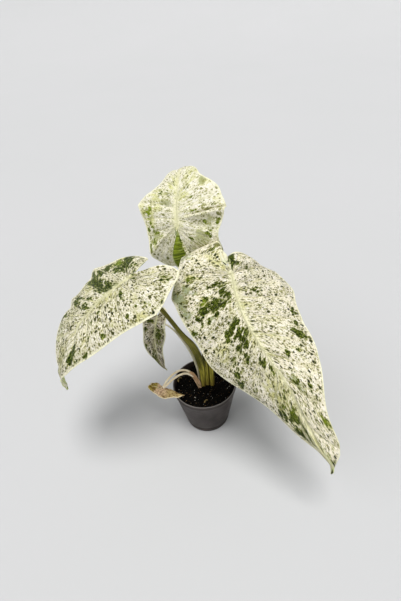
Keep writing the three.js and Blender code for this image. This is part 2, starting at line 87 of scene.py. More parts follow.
# The leaves. Pairs hold the left and the right half, as seen from the stalk, and no cup is
# zero. Rows start with a place round the margin, below zero on the right half. Then a bump has
# its width, out and up; a flap its width, across and up; a fold its start on the way out, its
# width and its height.
PLAIN_LEAF = dict(
    bumps=(), flaps=(), folds=(), costa=(0.2, 0.2), rib_sway=(0, 0), tip=(0, 0, 0),
    droop_power=1, plump=1, relief=1, crumple=0,
)
LEAVES = dict(
    right=dict(
        at=(28, -14, 182), length=167, lobe=39, half=(58, 47), lobe_share=(0.7, 1.3), heading=-69,
        pitch=-34, roll=9, bend=3, droop=37, twist=61, lobe_droop=55, fold=(-36, -20),
        cup=(-15, -3), full=(-0.2, 0.2), scallops=5, scallop=(2.4, 2.9), scallop_phase=(10, 63),
        waves=4, ruffle=1.5, wave_phase=(157, 47),
        rib_sway=(0, -3.6, -4.6, -3, -1, 2, 2.4, 1.6, 0.8, 0.3, 0), steps=(300, 84), rib=2.2,
        side_veins=9, tip=(-4, 0, -3.5),
        bumps=[(0.49, 0.04, 3.5, 0), (0.87, 0.05, 3, 0)],
        flaps=[(-0.135, 0.07, 12, 2.8), (0.1, 0.05, 3, 0)],
        folds=[
            (-0.43, 0.65, 0.02, 1), (-0.505, 0.2, 0.012, 0.7), (-0.575, 0.3, 0.02, 0.7),
            (0.58, 0.2, 0.014, -0.8), (0.65, 0.2, 0.014, -0.8), (0.5, 0.3, 0.02, 0.8),
        ],
    ),
    left=dict(
        at=(-47.5, -2, 178.5), length=126, lobe=28.5, half=(45, 44), lobe_share=(1.1, 0.8),
        heading=207, pitch=-12, roll=10, bend=-19, droop=80, twist=-17, lobe_droop=-4,
        fold=(4, -2), cup=(-44, -5), full=(-0.2, 0.1), scallops=5, scallop=(1.2, 0.8),
        scallop_phase=(37, -61), waves=3, ruffle=2.4, wave_phase=(20, 14), steps=(280, 76), rib=2,
        side_veins=8, tip=(0.5, 0, -1),
        bumps=[
            (-0.52, 0.035, 3.5, 1), (0.865, 0.025, 1.5, 1.3), (0.925, 0.028, -1.9, 0),
            (-0.925, 0.028, -2.3, 0), (0.78, 0.035, -2.9, 2.5), (-0.86, 0.03, 0.8, 3.2),
            (-0.79, 0.035, -2.9, 1.2),
        ],
        folds=[
            (-0.49, 0.35, 0.02, 2.2), (-0.53, 0.2, 0.02, -1.8), (-0.612, 0.2, 0.013, 1.5),
            (-0.638, 0.2, 0.014, -1.5), (0.5, 0.3, 0.02, 0.6), (0.62, 0.3, 0.02, -0.6),
        ],
    ),
    top=dict(
        at=(-8.8, 36.4, 196.7), length=69, lobe=37.5, half=(33.5, 39.5), lobe_share=(1, 1.13),
        heading=82, pitch=62, roll=-25, bend=26, droop=82, droop_power=1.2, twist=12.5,
        lobe_droop=55, fold=(-1, -1), cup=(0.01, -9), full=(0.1, 0), scallops=4, scallop=(1.5, 4),
        scallop_phase=(-44, -5), waves=4, ruffle=1.4, wave_phase=(-11, -70), costa=(0.22, 0.2),
        plump=0.5, steps=(280, 80), rib=1.8, side_veins=8,
        bumps=[
            (0.59, 0.035, 2.5, 1), (0.67, 0.03, 1.5, 0), (-0.12, 0.07, -3, 0), (-0.35, 0.04, 1, 0),
            (-0.48, 0.035, 3.5, 1.5), (-0.56, 0.03, -2.5, -1), (-0.13, 0.05, 0, 6.8),
            (-0.31, 0.08, -3.5, -12),
        ],
        flaps=[(-0.11, 0.06, 10.2, -1.4)],
        folds=[
            (-0.508, 0.3, 0.006, -2), (-0.486, 0.35, 0.013, 3.4), (-0.445, 0.4, 0.022, -1.8),
            (0.345, 0.3, 0.022, 3), (0.4, 0.35, 0.03, -1.2), (0.595, 0.25, 0.016, -1),
            (0.64, 0.25, 0.018, 0.8), (-0.33, 0.35, 0.03, 0.9), (-0.6, 0.3, 0.03, -0.7),
        ],
    ),
    small=dict(
        at=(-36, 21, 117), length=61, lobe=11.5, half=(11, 12), lobe_share=(1, 1), heading=236,
        pitch=-54, roll=1, bend=19, droop=56, twist=-17, lobe_droop=5, fold=(2, 7), cup=(0.01, 2),
        full=(0, 0.1), scallops=5, scallop=(-0.7, 0.6), scallop_phase=(19, 10), waves=4,
        ruffle=0.6, wave_phase=(166, 231), steps=(130, 36), rib=1.2, side_veins=7, relief=0.7,
        folds=[(-0.6, 0.3, 0.03, 0.5)],
    ),
    withered=dict(
        at=(-38.6, -5.5, 54.5), length=22, lobe=14, half=(4.4, 9.5), lobe_share=(0.95, 1),
        heading=-30, pitch=-4, roll=-4, bend=4, droop=4, twist=-14, lobe_droop=-6, fold=(-30, -32),
        cup=(-20, 20), full=(0, 0), scallops=4, scallop=(0.2, 0.6), scallop_phase=(0, 80), waves=4,
        ruffle=0.5, wave_phase=(0, 120), steps=(130, 44), rib=1, side_veins=6, relief=0.7,
        crumple=1.5,
        flaps=[(0.13, 0.13, 3.4, -0.6)],
    ),
)

# Marks on the leaves: a place round the margin in thousandths, below zero on the right half,
# the share of the way out to it in hundredths, the reach across the side veins and along them
# in tenths of a millimetre, and the strength in hundredths.
MARKS = {
    "right green": [
        (113, 80, 15, 70, 160), (135, 40, 12, 60, 140), (-144, 66, 14, 45, 65),
        (-463, 50, 37, 42, 90), (-484, 39, 52, 65, 100), (-477, 60, 40, 45, 95),
        (-492, 21, 39, 58, 100), (-502, 42, 32, 39, 90), (-567, 17, 38, 42, 100),
        (-565, 29, 47, 47, 100), (-570, 40, 43, 45, 100), (-589, 21, 41, 51, 100),
        (-615, 21, 58, 39, 100), (-613, 36, 30, 34, 90), (-483, 74, 22, 27, 80),
        (-499, 74, 24, 30, 60), (-506, 60, 26, 30, 70), (-501, 93, 25, 32, 70),
        (-436, 33, 23, 57, 75), (-457, 21, 75, 36, 85), (-483, 13, 37, 26, 90),
        (-452, 16, 36, 27, 70), (-638, 35, 42, 40, 90), (-679, 17, 48, 42, 85),
        (-711, 11, 32, 36, 70), (-613, 63, 35, 59, 55), (-636, 68, 31, 57, 85),
        (-649, 87, 28, 69, 90), (-677, 69, 24, 41, 60), (-752, 72, 36, 70, 85),
        (-799, 36, 40, 70, 85), (-774, 58, 34, 60, 65), (-797, 72, 32, 60, 80),
        (-846, 40, 30, 65, 75), (-819, 74, 30, 55, 70), (605, 73, 27, 54, 95),
        (614, 88, 19, 39, 85), (582, 82, 31, 34, 75), (553, 87, 33, 37, 70), (660, 41, 36, 24, 85),
        (647, 63, 14, 32, 80), (716, 69, 23, 32, 75), (783, 83, 23, 51, 90), (726, 38, 40, 70, 45),
        (-759, 23, 24, 40, 40), (-759, 46, 34, 50, 50), (-600, 8, 50, 28, 85),
        (121, 50, 16, 30, 90), (221, 33, 40, 40, 85), (377, 37, 44, 41, 60),
        (-378, 64, 40, 55, 55), (-377, 50, 24, 16, 70), (493, 29, 45, 77, 50),
        (927, 82, 20, 81, 40),
    ],
    "right grey": [
        (-417, 74, 50, 47, 100), (-436, 63, 28, 36, 70), (-443, 89, 77, 53, 100),
        (-417, 96, 74, 23, 100), (-465, 88, 47, 40, 90), (-274, 84, 34, 86, 80),
        (-538, 64, 64, 78, 50), (-505, 53, 25, 63, 90), (726, 38, 46, 78, 80),
        (735, 42, 34, 69, 80), (625, 10, 41, 57, 40), (-501, 92, 37, 44, 70),
    ],
    "right lime": [
        (-464, 54, 40, 37, 90), (-575, 43, 36, 41, 60), (-585, 64, 60, 78, 70),
        (519, 6, 142, 40, 50), (-627, 6, 109, 39, 60), (-728, 34, 101, 142, 80),
        (-791, 30, 80, 120, 70), (-856, 47, 60, 160, 60), (786, 83, 35, 87, 80),
        (-186, 28, 91, 133, 60), (-379, 70, 56, 77, 70), (949, 56, 20, 115, 60),
    ],
    "left green": [
        (-408, 74, 29, 79, 90), (-352, 70, 47, 117, 110), (-283, 45, 56, 54, 70),
        (-378, 40, 68, 77, 80), (-313, 89, 24, 44, 80), (-448, 75, 38, 64, 70),
        (-465, 76, 37, 67, 90), (-449, 47, 52, 67, 85), (-517, 77, 45, 82, 80),
        (-494, 59, 33, 75, 90), (-533, 54, 49, 131, 110), (-544, 23, 47, 91, 100),
        (-513, 17, 32, 75, 100), (-493, 5, 30, 31, 70), (-549, 58, 27, 65, 80),
        (-543, 80, 43, 90, 80), (-604, 62, 24, 92, 90), (-596, 28, 22, 53, 80),
        (-623, 58, 22, 65, 80), (-631, 19, 37, 61, 85), (-666, 91, 33, 46, 100),
        (-653, 94, 19, 32, 80), (-681, 94, 19, 31, 80), (701, 72, 57, 56, 95),
        (643, 93, 19, 18, 90), (684, 63, 34, 22, 80), (610, 40, 17, 31, 70), (575, 35, 21, 23, 70),
        (579, 82, 22, 19, 70), (488, 80, 14, 20, 80), (623, 65, 26, 17, 60),
        (316, 10, 120, 26, 80), (-100, 41, 23, 20, 70), (444, 74, 21, 35, 50),
        (398, 95, 10, 18, 70), (426, 93, 13, 21, 60), (361, 67, 25, 34, 40), (310, 76, 28, 55, 50),
        (482, 38, 23, 40, 70), (464, 70, 14, 32, 60), (680, 93, 26, 16, 70),
        (-842, 38, 42, 164, 40),
    ],
    "left grey": [
        (-710, 77, 88, 110, 60), (-739, 23, 57, 96, 40), (440, 78, 27, 41, 60),
        (283, 73, 45, 67, 40), (-491, 10, 49, 60, 50),
    ],
    "left lime": [
        (-512, 71, 63, 119, 60), (-418, 78, 49, 106, 80), (-566, 70, 50, 131, 55),
        (505, 14, 125, 69, 70), (591, 12, 118, 55, 80), (681, 15, 89, 62, 50),
        (465, 91, 42, 33, 110), (220, 7, 183, 32, 60), (-803, 42, 80, 153, 50),
    ],
    "top green": [
        (-55, 100, 17, 180, 140), (-80, 45, 20, 70, 120), (536, 78, 29, 40, 80),
        (562, 69, 16, 24, 60), (407, 68, 38, 46, 55), (376, 63, 27, 56, 60), (375, 80, 19, 44, 55),
        (459, 80, 51, 23, 50), (430, 88, 25, 23, 70), (439, 73, 29, 17, 60), (665, 60, 22, 34, 60),
        (682, 37, 21, 23, 50), (600, 45, 15, 24, 45), (-459, 64, 16, 21, 85),
        (-457, 91, 14, 22, 60), (-462, 91, 7, 24, 60), (-415, 80, 30, 30, 70),
        (364, 93, 20, 26, 80), (-335, 35, 30, 26, 80), (-330, 59, 23, 20, 70),
        (-564, 91, 12, 15, 50), (-365, 87, 17, 22, 80), (-607, 41, 20, 22, 50),
        (747, 16, 26, 33, 50), (-517, 38, 21, 34, 50),
    ],
    # On the top leaf the grey marks at -300, -387 and -455 are painted shade: they darken the
    # lower right lobe, where it turns down away from the light.
    "top grey": [
        (610, 28, 36, 64, 95), (659, 31, 52, 54, 60), (-654, 88, 41, 38, 110),
        (398, 70, 61, 51, 95), (-562, 65, 68, 48, 40), (-442, 79, 29, 66, 60),
        (376, 48, 49, 53, 50), (-300, 60, 120, 160, 65), (-455, 72, 45, 60, 75),
        (-387, 60, 70, 75, 95), (171, 96, 8, 39, 80),
    ],
    "top lime": [
        (-60, 80, 16, 130, 75), (540, 78, 40, 52, 160), (568, 56, 45, 58, 90),
        (574, 88, 34, 29, 80), (-651, 89, 39, 48, 100), (-651, 22, 62, 48, 80),
        (738, 22, 93, 60, 70), (648, 65, 68, 88, 60), (472, 81, 67, 44, 80), (357, 81, 28, 54, 70),
        (-751, 60, 88, 84, 60), (-562, 88, 24, 31, 50), (-454, 91, 25, 31, 60),
    ],
    "small green": [
        (573, 32, 62, 46, 90), (505, 66, 29, 28, 80), (-533, 82, 24, 28, 80),
        (-467, 45, 27, 37, 80), (-634, 84, 32, 29, 50), (618, 25, 41, 39, 70),
        (-742, 63, 26, 64, 60), (-800, 83, 13, 36, 80), (-702, 20, 27, 36, 50),
    ],
    "small lime": [
        (-799, 44, 23, 82, 60), (-490, 80, 30, 28, 50),
    ],
}

# The stalks: points of the route and the half widths there, across and in depth.
STALKS = {
    "left": [
        (-1.1, -0.3, 38, 2.3, 2.6), (-1, -0.3, 50, 2.4, 2.9), (-1.2, -0.2, 74, 3.3, 2.8),
        (-6.5, 0, 98, 3.3, 2.4), (-15.2, 0, 116, 2.1, 1.9), (-27, -0.5, 143, 1.8, 1.7),
        (-39, -1.5, 166, 1.7, 1.6), (-47, -2, 178, 1.6, 1.6),
    ],
    "right": [
        (7.2, -0.3, 38, 2.1, 2.6), (7.2, -0.3, 50, 2.15, 2.9), (8.1, 0.2, 74, 2.4, 2.7),
        (12.2, 1, 105, 2.3, 2.3), (18.5, -0.5, 135, 2, 2), (24, -6, 160, 1.9, 1.9),
        (28, -13, 181, 1.8, 1.8),
    ],
    "top": [
        (3, 0.3, 38, 2.2, 2.4), (3, 0.4, 50, 2.2, 2.6), (2.9, 2.2, 74, 2.4, 2.5),
        (1, 13.5, 118, 2, 2), (-3, 27, 155, 1.8, 1.8), (-7, 34, 180, 1.6, 1.6),
        (-8.8, 37.2, 195.5, 1.5, 1.5),
    ],
    "small": [
        (-4.2, 2.2, 38, 1, 1), (-4.2, 2.2, 50, 1, 1), (-5.7, 2, 72, 1, 1), (-11, 2, 95, 1, 1),
        (-18.4, 2.6, 113, 0.9, 0.9), (-24.5, 9, 116, 0.8, 0.8), (-30.8, 17.5, 114, 0.8, 0.8),
        (-35.7, 21.2, 116.6, 0.8, 0.8),
    ],
}
WITHERED_SHEATH = [
    (-4.6, -2.4, 38, 1.5, 1.2), (-4.8, -2.4, 47, 1.7, 1.2), (-6.8, -2.3, 56, 2, 1.1),
    (-10.2, -2.2, 65, 1.9, 1), (-12.2, -2.2, 68.4, 1.2, 0.7),
]
WITHERED_STRANDS = [
    [
        (-9.2, -1.7, 62.5, 1, 0.8), (-13.9, -1.3, 69.2, 1.1, 0.8), (-20.8, -1.6, 71.3, 1, 0.8),
        (-28.2, -2.4, 67.4, 1, 0.8), (-34.6, -3.8, 60.6, 1, 0.8), (-38.6, -5.2, 54.4, 1, 0.8),
    ],
    [
        (-9.4, -2.8, 62.5, 1, 0.8), (-15.5, -3.6, 68.6, 1.1, 0.8), (-22.2, -4.6, 68.2, 1, 0.8),
        (-29.3, -5.2, 63.2, 1, 0.8), (-34.6, -5.7, 57.6, 1, 0.8), (-38.4, -6, 54.2, 1, 0.8),
    ],
]

DRY_SCRAPS = [
    [
        (-1.6, -20.4, 45.5, 0.4, 0.3), (-0.9, -19, 46.2, 0.6, 0.3), (0.3, -18.2, 46.3, 0.6, 0.3),
        (1.4, -18, 45.7, 0.4, 0.3),
    ],
    [
        (-25, 6.8, 45, 0.5, 0.3), (-25.2, 9.2, 46, 0.7, 0.3), (-23.6, 11.2, 46.1, 0.7, 0.3),
        (-21.8, 11, 45.4, 0.5, 0.3),
    ],
]

POT_RIM = 30
POT_BASE = 21
POT_WALL = 1.2
BAND_FOOT = 45
BAND_STEP = 0.7
DRAINS = 6
DRAIN_RADIUS = 2.5
DRAINS_OUT = 14
SOIL_LEVEL = 45.5
SOIL_EDGE = 43.9
SOIL_FOOT = 1.9
STALKS_AT = (3, 0)
CRUMB_REACH = 27

# The studio: floor and camera in metres
FLOOR_REACH = 2
FLOOR_BEND = 3
FLOOR_TILT = 42
FLOOR_STEPS = 12
FLOOR_SIDE = 14.5
# Lamps: where they shine from, strength, spread and tint
LAMPS = {
    "soft_key": ((0.08, -0.18, 1.1), 2.65, 24, (1, 0.99, 0.98)),
    "soft_fill": ((-0.9, -0.4, 1.1), 1.25, 50, (0.98, 0.98, 1)),
}
AMBIENT_TINT = (0.96, 0.98, 1, 1)
AMBIENT = 0.33
CAMERA_AT = (0.004, -0.247, 0.35)
CAMERA_DOWN = 39.1
CAMERA_ROLL = -5.7
CAMERA_LENS = 24.08


# Numbers
def smooth_rows(rows, u):
    """A smooth curve through rows of numbers, for an array of places from 0 to 1."""
    rows = np.array(rows, float)
    last = len(rows) - 1
    x = np.clip(u, 0, 1) * last
    i = np.minimum(x.astype(int), last - 1)
    f = (x - i)[..., None]
    a, b, c, d = (rows[np.clip(i + k, 0, last)] for k in (-1, 0, 1, 2))
    return 0.5 * (2 * b + (c - a) * f + (2 * a - 5 * b + 4 * c - d) * f ** 2
                  + (3 * b - a - 3 * c + d) * f ** 3)


def turned(v, axis, angle):
    return Matrix.Rotation(angle, 3, axis) @ v


def unit(v):
    return v / np.linalg.norm(v, axis=-1, keepdims=True)


def bell(distance, width):
    return np.exp(-(distance / width) ** 2)


def bell_at(place, width, t, is_left):
    """A bell round a place on the margin, on the half that the place's sign stands for."""
    return bell(t - abs(place), width) * (is_left == (place > 0))


def ease(x, low, high):
    s = np.clip((x - low) / (high - low), 0, 1)
    return s * s * (3 - 2 * s)


def rumble(points, size, seed):
    """Smooth noise from -1 to 1 at an array of points, with lumps of about that size."""
    shift = Vector((seed, 1.7 * seed, -seed))
    return np.array([noise.noise(Vector(p) / size + shift) for p in points])


# Leaf form
def pick(leaf, key, is_left):
    """The number of the left or of the right half."""
    return np.where(is_left, *leaf[key])


def midrib(leaf):
    """Stations of the midrib from the back lobes to the tip: place along, point, left and up."""
    heading, pitch = radians(leaf["heading"]), radians(leaf["pitch"])
    run = Vector((cos(pitch) * cos(heading), cos(pitch) * sin(heading), sin(pitch)))
    left = turned(Vector((-sin(heading), cos(heading), 0)), run, radians(leaf["roll"]))

    def walk(length, droop, power, bend, twist):
        """Steps along the midrib, backwards where the length is below zero."""
        at, t, b = Vector(leaf["at"]), run, left
        n = t.cross(b)
        stations = [(0, at, b, n)]
        for i in range(SPINE_STEPS):
            low, high = i / SPINE_STEPS, (i + 1) / SPINE_STEPS
            before = t
            down = radians(droop) * (high ** power - low ** power)
            t, n = turned(t, b, down), turned(n, b, down)
            aside = radians(bend) / SPINE_STEPS
            t, b = turned(t, n, aside), turned(b, n, aside)
            b = turned(b, t, radians(twist) / SPINE_STEPS)
            n = t.cross(b)
            at = at + (before + t) * (length / SPINE_STEPS / 2)
            stations.append((length * high, at, b, n))
        return stations

    back = walk(-leaf["lobe"] * LOBE_SPINE, -leaf["lobe_droop"], 1, 0, 0)
    ahead = walk(leaf["length"], leaf["droop"], leaf["droop_power"], leaf["bend"], leaf["twist"])
    along, *frames = zip(*(back[:0:-1] + ahead))
    return np.array(along, float), *(np.array([tuple(v) for v in f]) for f in frames)


def flat_margin(leaf, t, is_left):
    """Where side veins start on the midrib, and the margin point where each of them ends."""
    ahead, across = np.moveaxis(smooth_rows(HALF_OUTLINE, t), -1, 0)
    calm = np.clip(t / CALM_NOTCH, 0, 1)
    lobe = leaf["lobe"] * (1 + (pick(leaf, "lobe_share", is_left) - 1) * calm)
    margin_x = ahead * np.where(ahead < 0, lobe, leaf["length"])
    full = 1 + pick(leaf, "full", is_left) * np.sin(np.pi * np.clip(ahead, 0, 1))
    turn = 2 * np.pi * leaf["scallops"] * t + np.radians(pick(leaf, "scallop_phase", is_left))
    scallop = pick(leaf, "scallop", is_left) * np.sin(turn) * calm * np.sin(np.pi * t)
    margin_y = across * pick(leaf, "half", is_left) * full + scallop
    for place, width, out, _ in leaf["bumps"]:
        margin_y = margin_y + out * bell_at(place, width, t, is_left)
    root = np.clip((t - FAN) / (1 - FAN), 0, 1) ** VEIN_CROWDING * leaf["length"]
    return root, margin_x, np.maximum(margin_y, 0)


def leaf_surface(leaf, t, v):
    """The leaf's middle surface at place t round the margin and share v out, left above zero."""
    is_left, r = v >= 0, np.abs(v)
    side = np.where(is_left, 1, -1)
    root, margin_x, margin_y = flat_margin(leaf, t, is_left)
    x = root * (1 - r) + margin_x * r
    bow = VEIN_BOW * np.sin(np.pi * np.clip(t / FAN, 0, 1))
    y = margin_y * (r + bow * r * (1 - r))
    along, *frames = leaf["midrib"]
    at, left, up = (np.stack([np.interp(x, along, f[:, k]) for k in range(3)], -1) for f in frames)
    left, up = unit(left), unit(up)
    fold = np.radians(pick(leaf, "fold", is_left))
    cup = np.radians(pick(leaf, "cup", is_left)) / pick(leaf, "half", is_left)
    out = (np.sin(fold + cup * y) - np.sin(fold)) / cup
    raised = (np.cos(fold) - np.cos(fold + cup * y)) / cup
    wave = np.sin(2 * np.pi * leaf["waves"] * t + np.radians(pick(leaf, "wave_phase", is_left)))
    calm = np.clip(t / CALM_NOTCH, 0, 1) * np.clip((1 - t) / CALM_TIP, 0, 1)
    ruffle = leaf["ruffle"] * wave * calm
    for place, width, _, lift in leaf["bumps"]:
        ruffle = ruffle + lift * bell_at(place, width, t, is_left)
    point = at + left * (side * out)[..., None] + up * (raised + ruffle * r * r)[..., None]
    for place, width, across, lift in leaf["flaps"]:
        flap = bell_at(place, width, t, is_left) * r ** 1.5
        point = point - left * (side * across * flap)[..., None] + up * (lift * flap)[..., None]
    sway = smooth_rows([[s] for s in leaf["rib_sway"]], x / leaf["length"])
    point = point + left * sway * ((1 - r) ** 2)[..., None]
    curl = np.clip((x / leaf["length"] - 1) / TIP_CURL + 1, 0, 1) ** 1.5
    return point + curl[..., None] * np.array(leaf["tip"], float), up, x, y


def vein_measures(leaf, places, is_left):
    """At places on the margin: the width of leaf passed from the notch, and the vein's length."""
    t = np.linspace(0, 1, 400)
    halves = []
    for half in (True, False):
        root, margin_x, margin_y = flat_margin(leaf, t, np.full(t.shape, half))
        vein = np.stack([margin_x - root, margin_y], -1)
        length = np.hypot(*vein.T)
        step = np.diff(np.stack([root, 0 * root], -1) + 0.6 * vein, axis=0)
        way = vein[1:] / np.maximum(length[1:, None], 0.01)
        passed = np.cumsum(np.abs(way[:, 0] * step[:, 1] - way[:, 1] * step[:, 0]))
        halves.append([np.interp(places, t, row) for row in (np.append(0, passed), length)])
    return [np.where(is_left, *pair) for pair in zip(*halves)]


# Mesh making
def deselect():
    ops.object.select_all(action="DESELECT")


def take(*pieces):
    deselect()
    for piece in pieces:
        piece.select_set(True)
    context.view_layer.objects.active = pieces[0]


def joined(pieces):
    take(*pieces)
    ops.object.join()
    return pieces[0]


def select_all():
    ops.mesh.select_all(action="SELECT")


def edit(piece, by="VERT"):
    take(piece)
    ops.object.mode_set(mode="EDIT")
    ops.mesh.select_mode(type=by)
    select_all()


def end_edit():
    ops.object.mode_set(mode="OBJECT")


def named(name):
    piece = context.object
    piece.name = piece.data.name = name
    return piece


def points_of(piece):
    points = np.empty(len(piece.data.vertices) * 3)
    piece.data.vertices.foreach_get("co", points)
    return points.reshape(-1, 3)


def fresh_grid(name, rows, columns):
    """A square grid, two across, that is then shaped into a sheet or a tube."""
    deselect()
    ops.mesh.primitive_grid_add(x_subdivisions=rows, y_subdivisions=columns, size=2)
    piece = named(name)
    return piece, *points_of(piece).T[:2]


def set_points(piece, points):
    """Moves a piece's vertices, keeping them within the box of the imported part."""
    points = np.clip(points * MM, *np.array(part_box))
    piece.data.vertices.foreach_set("co", points.astype(np.float32).ravel())
    piece.data.update()


def paint_points(piece, name, values):
    layer = piece.data.attributes.new(name, "FLOAT", "POINT")
    layer.data.foreach_set("value", np.asarray(values, np.float32))


def map_points(piece, name, u, v):
    layer = piece.data.uv_layers.new(name=name)
    corners = np.empty(len(piece.data.loops), int)
    piece.data.loops.foreach_get("vertex_index", corners)
    layer.data.foreach_set("uv", np.stack([u, v], -1)[corners].astype(np.float32).ravel())


def close_up(piece, turn_out=True):
    """Merges doubled points, closes holes, and turns the faces outwards."""
    edit(piece)
    ops.mesh.remove_doubles(threshold=MERGE_GAP)
    select_all()
    ops.mesh.dissolve_degenerate(threshold=MERGE_GAP / 2)
    if turn_out:
        select_all()
        ops.mesh.normals_make_consistent(inside=False)
    end_edit()


def finish_piece(piece, material, nodes=(), smooth=60):
    take(piece)
    ops.object.shade_smooth_by_angle(angle=radians(smooth))
    if not piece.data.materials:
        piece.data.materials.append(material)
    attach(piece, "root")
    if nodes:
        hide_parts(*nodes)


def leaf_blade(name, top, under):
    """A blade: its sheet, with sunk veins and soft cushions between them, thickened downwards."""
    leaf = {**PLAIN_LEAF, **LEAVES[name]}
    leaf["midrib"] = midrib(leaf)
    piece, along, v = fresh_grid("leaf_" + name, *leaf["steps"])
    t = (along + 1) / 2
    is_left, r = v >= 0, np.abs(v)
    point, up, x, y = leaf_surface(leaf, t, v)

    def run(t_step, v_step):
        ahead, behind = (leaf_surface(leaf, np.clip(t + way * t_step, 0, 1),
                                      np.clip(v + way * v_step, -1, 1))[0] for way in (1, -1))
        return ahead - behind

    normal = np.cross(run(NUDGE, 0), run(0, NUDGE))
    size = np.linalg.norm(normal, axis=-1, keepdims=True)
    normal = np.where(size > 1e-9, normal / np.maximum(size, 1e-9), up)
    normal = normal * np.where((normal * up).sum(-1, keepdims=True) < 0, -1, 1)
    from_rib = np.hypot(y, np.minimum(x, 0))
    near_rib = bell(from_rib, RIB_EASE)[:, None]
    normal = unit(normal * (1 - near_rib) + up * near_rib)

    # Relief: cushions and veins, the midrib, slow and fine unevenness, folds
    passed, reach = vein_measures(leaf, t, is_left)
    spacing = vein_measures(leaf, 1, is_left)[0] / leaf["side_veins"]
    order = (passed - vein_measures(leaf, pick(leaf, "costa", is_left), is_left)[0]) / spacing
    opened = np.where(t < FAN, np.clip(r / 0.6, 0, 1.5), 1)
    off_vein = np.abs(order - np.round(order)) * spacing * opened
    inner = ease(r, 0.02, 0.2) * ease(1 - r, 0, 0.25)
    cushion = np.sqrt(np.clip(off_vein / spacing * 2, 0, 1)) * inner
    depth, width = VEIN_FURROW
    relief = CUSHIONS * spacing * cushion - depth * bell(off_vein, width) * inner
    depth, width = RIB_FURROW
    short_of_tip = ease(1 - x / leaf["length"], 0, 0.2)
    relief = relief * leaf["plump"] - depth * bell(from_rib, width) * short_of_tip
    for height, lump, seed in UNEVENNESS:
        relief = relief + height * rumble(point, lump, seed) * inner
    if leaf["crumple"]:
        creased = 0.8 * (0.4 - 2 * np.abs(rumble(point, 4, 5)))
        relief = relief + leaf["crumple"] * (rumble(point, 7, 2) + creased)
    relief = relief * leaf["relief"] + SHEET_LIFT
    for place, start, width, height in leaf["folds"]:
        way_out = ease(r, start - 0.2, start + 0.15)
        relief = relief + height * way_out * bell_at(place, width, t, is_left)
    set_points(piece, point + normal * relief[:, None])

    # What the materials read
    seed = 10 * leaf["length"] + 300 * (~is_left)
    map_points(piece, "grain", (passed + seed) / 10, r * reach / 10)
    map_points(piece, "veins", order, r)
    paint_points(piece, "from_rib", from_rib)
    paint_points(piece, "from_edge", (1 - r) * reach * 0.7)
    paint_points(piece, "towards_tip", x / leaf["length"])
    for kind in ("green", "grey", "lime"):
        value = np.zeros(len(t))
        for place, share, wide, long, strength in MARKS.get(f"{name} {kind}", ()):
            middle, length = vein_measures(leaf, abs(place) / 1000, place > 0)
            off = (passed - middle) / (wide / 10)
            far = (r * reach - share / 100 * length) / (long / 10)
            spot = strength / 100 * np.exp(-0.7 * (off ** 2 + far ** 2) ** 1.5)
            value = np.maximum(value, spot * (is_left == (place > 0)))
        paint_points(piece, kind, value)

    # Thickness, fuller at the midrib and along the side veins
    thick = bell(from_rib, 1.9) * (1 - 0.7 * np.clip(x / leaf["length"], 0, 1))
    thick = np.maximum(thick, 0.16 * bell(off_vein, 0.9) * inner)
    group = piece.vertex_groups.new(name="thick")
    for i, weight in enumerate(thick):
        group.add([i], float(weight), "REPLACE")
    mesh = piece.data
    if sum(f.normal.dot(Vector(up[f.vertices[0]])) * f.area for f in mesh.polygons) < 0:
        mesh.flip_normals()
    close_up(piece, turn_out=False)
    mesh.materials.append(top)
    mesh.materials.append(under)
    skin = piece.modifiers.new("skin", "SOLIDIFY")
    skin.thickness = leaf["rib"] * MM
    skin.offset = -1
    skin.vertex_group = "thick"
    skin.thickness_vertex_group = SHEET_THICKNESS / leaf["rib"]
    skin.material_offset = 1
    ops.object.modifier_apply(modifier="skin")
    set_points(piece, points_of(piece) / MM)
    finish_piece(piece, top, ["blade_" + name])


def stalk(name, rows, material, nodes, around=28, rings=110, form=None):
    """A stalk along its route, round or shaped by form, with closed ends."""
    piece, along, turn = fresh_grid(name, rings, around)
    u, angle = (along + 1) / 2, (turn + 1) * np.pi
    row = smooth_rows(rows, u)
    run = unit(smooth_rows(rows, u + 0.01)[:, :3] - smooth_rows(rows, u - 0.01)[:, :3])
    across = unit(np.cross((0, 1, 0), run))
    deep = np.cross(run, across)
    swell = form(u, angle) if form else 1
    end = np.sqrt(np.clip(np.minimum(u, 1 - u) * 60, 0, 1))
    point = row[:, :3] + across * (row[:, 3] * np.cos(angle) * swell * end)[:, None] \
        + deep * (row[:, 4] * np.sin(angle) * swell * end)[:, None]
    set_points(piece, point)
    steps = np.linspace(0, 1, 200)
    route = smooth_rows(rows, steps)[:, :3]
    far = np.append(0, np.cumsum(np.linalg.norm(np.diff(route, axis=0), axis=-1)))
    map_points(piece, "route", angle / (2 * np.pi), np.interp(u, steps, far) / 10)
    paint_points(piece, "height", point[:, 2])
    close_up(piece)
    finish_piece(piece, material, nodes)


# Material making
class Field:
    """An output of a material's node, open to plain arithmetic."""
    def __init__(self, node, output=0):
        self.node, self.socket, self.id_data = node, node.outputs[output], node.id_data

    def out(self, output):
        """Another output of the same node."""
        return Field(self.node, output)

    __add__ = lambda a, b: calc("ADD", a, b)
    __sub__ = lambda a, b: calc("SUBTRACT", a, b)
    __mul__ = lambda a, b: calc("MULTIPLY", a, b)
    __truediv__ = lambda a, b: calc("DIVIDE", a, b)


def fill(node, sockets):
    """Links fields to a node's sockets, and sets plain values on them."""
    for name, value in sockets.items():
        if isinstance(value, Field):
            node.id_data.links.new(value.socket, node.inputs[name])
        else:
            node.inputs[name].default_value = value


def put(near, kind, sockets, **settings):
    """A new node in the tree of a field, or in a tree itself, as a field."""
    node = near.id_data.nodes.new("ShaderNode" + kind)
    for name, value in settings.items():
        setattr(node, name, value)
    fill(node, sockets)
    return Field(node)


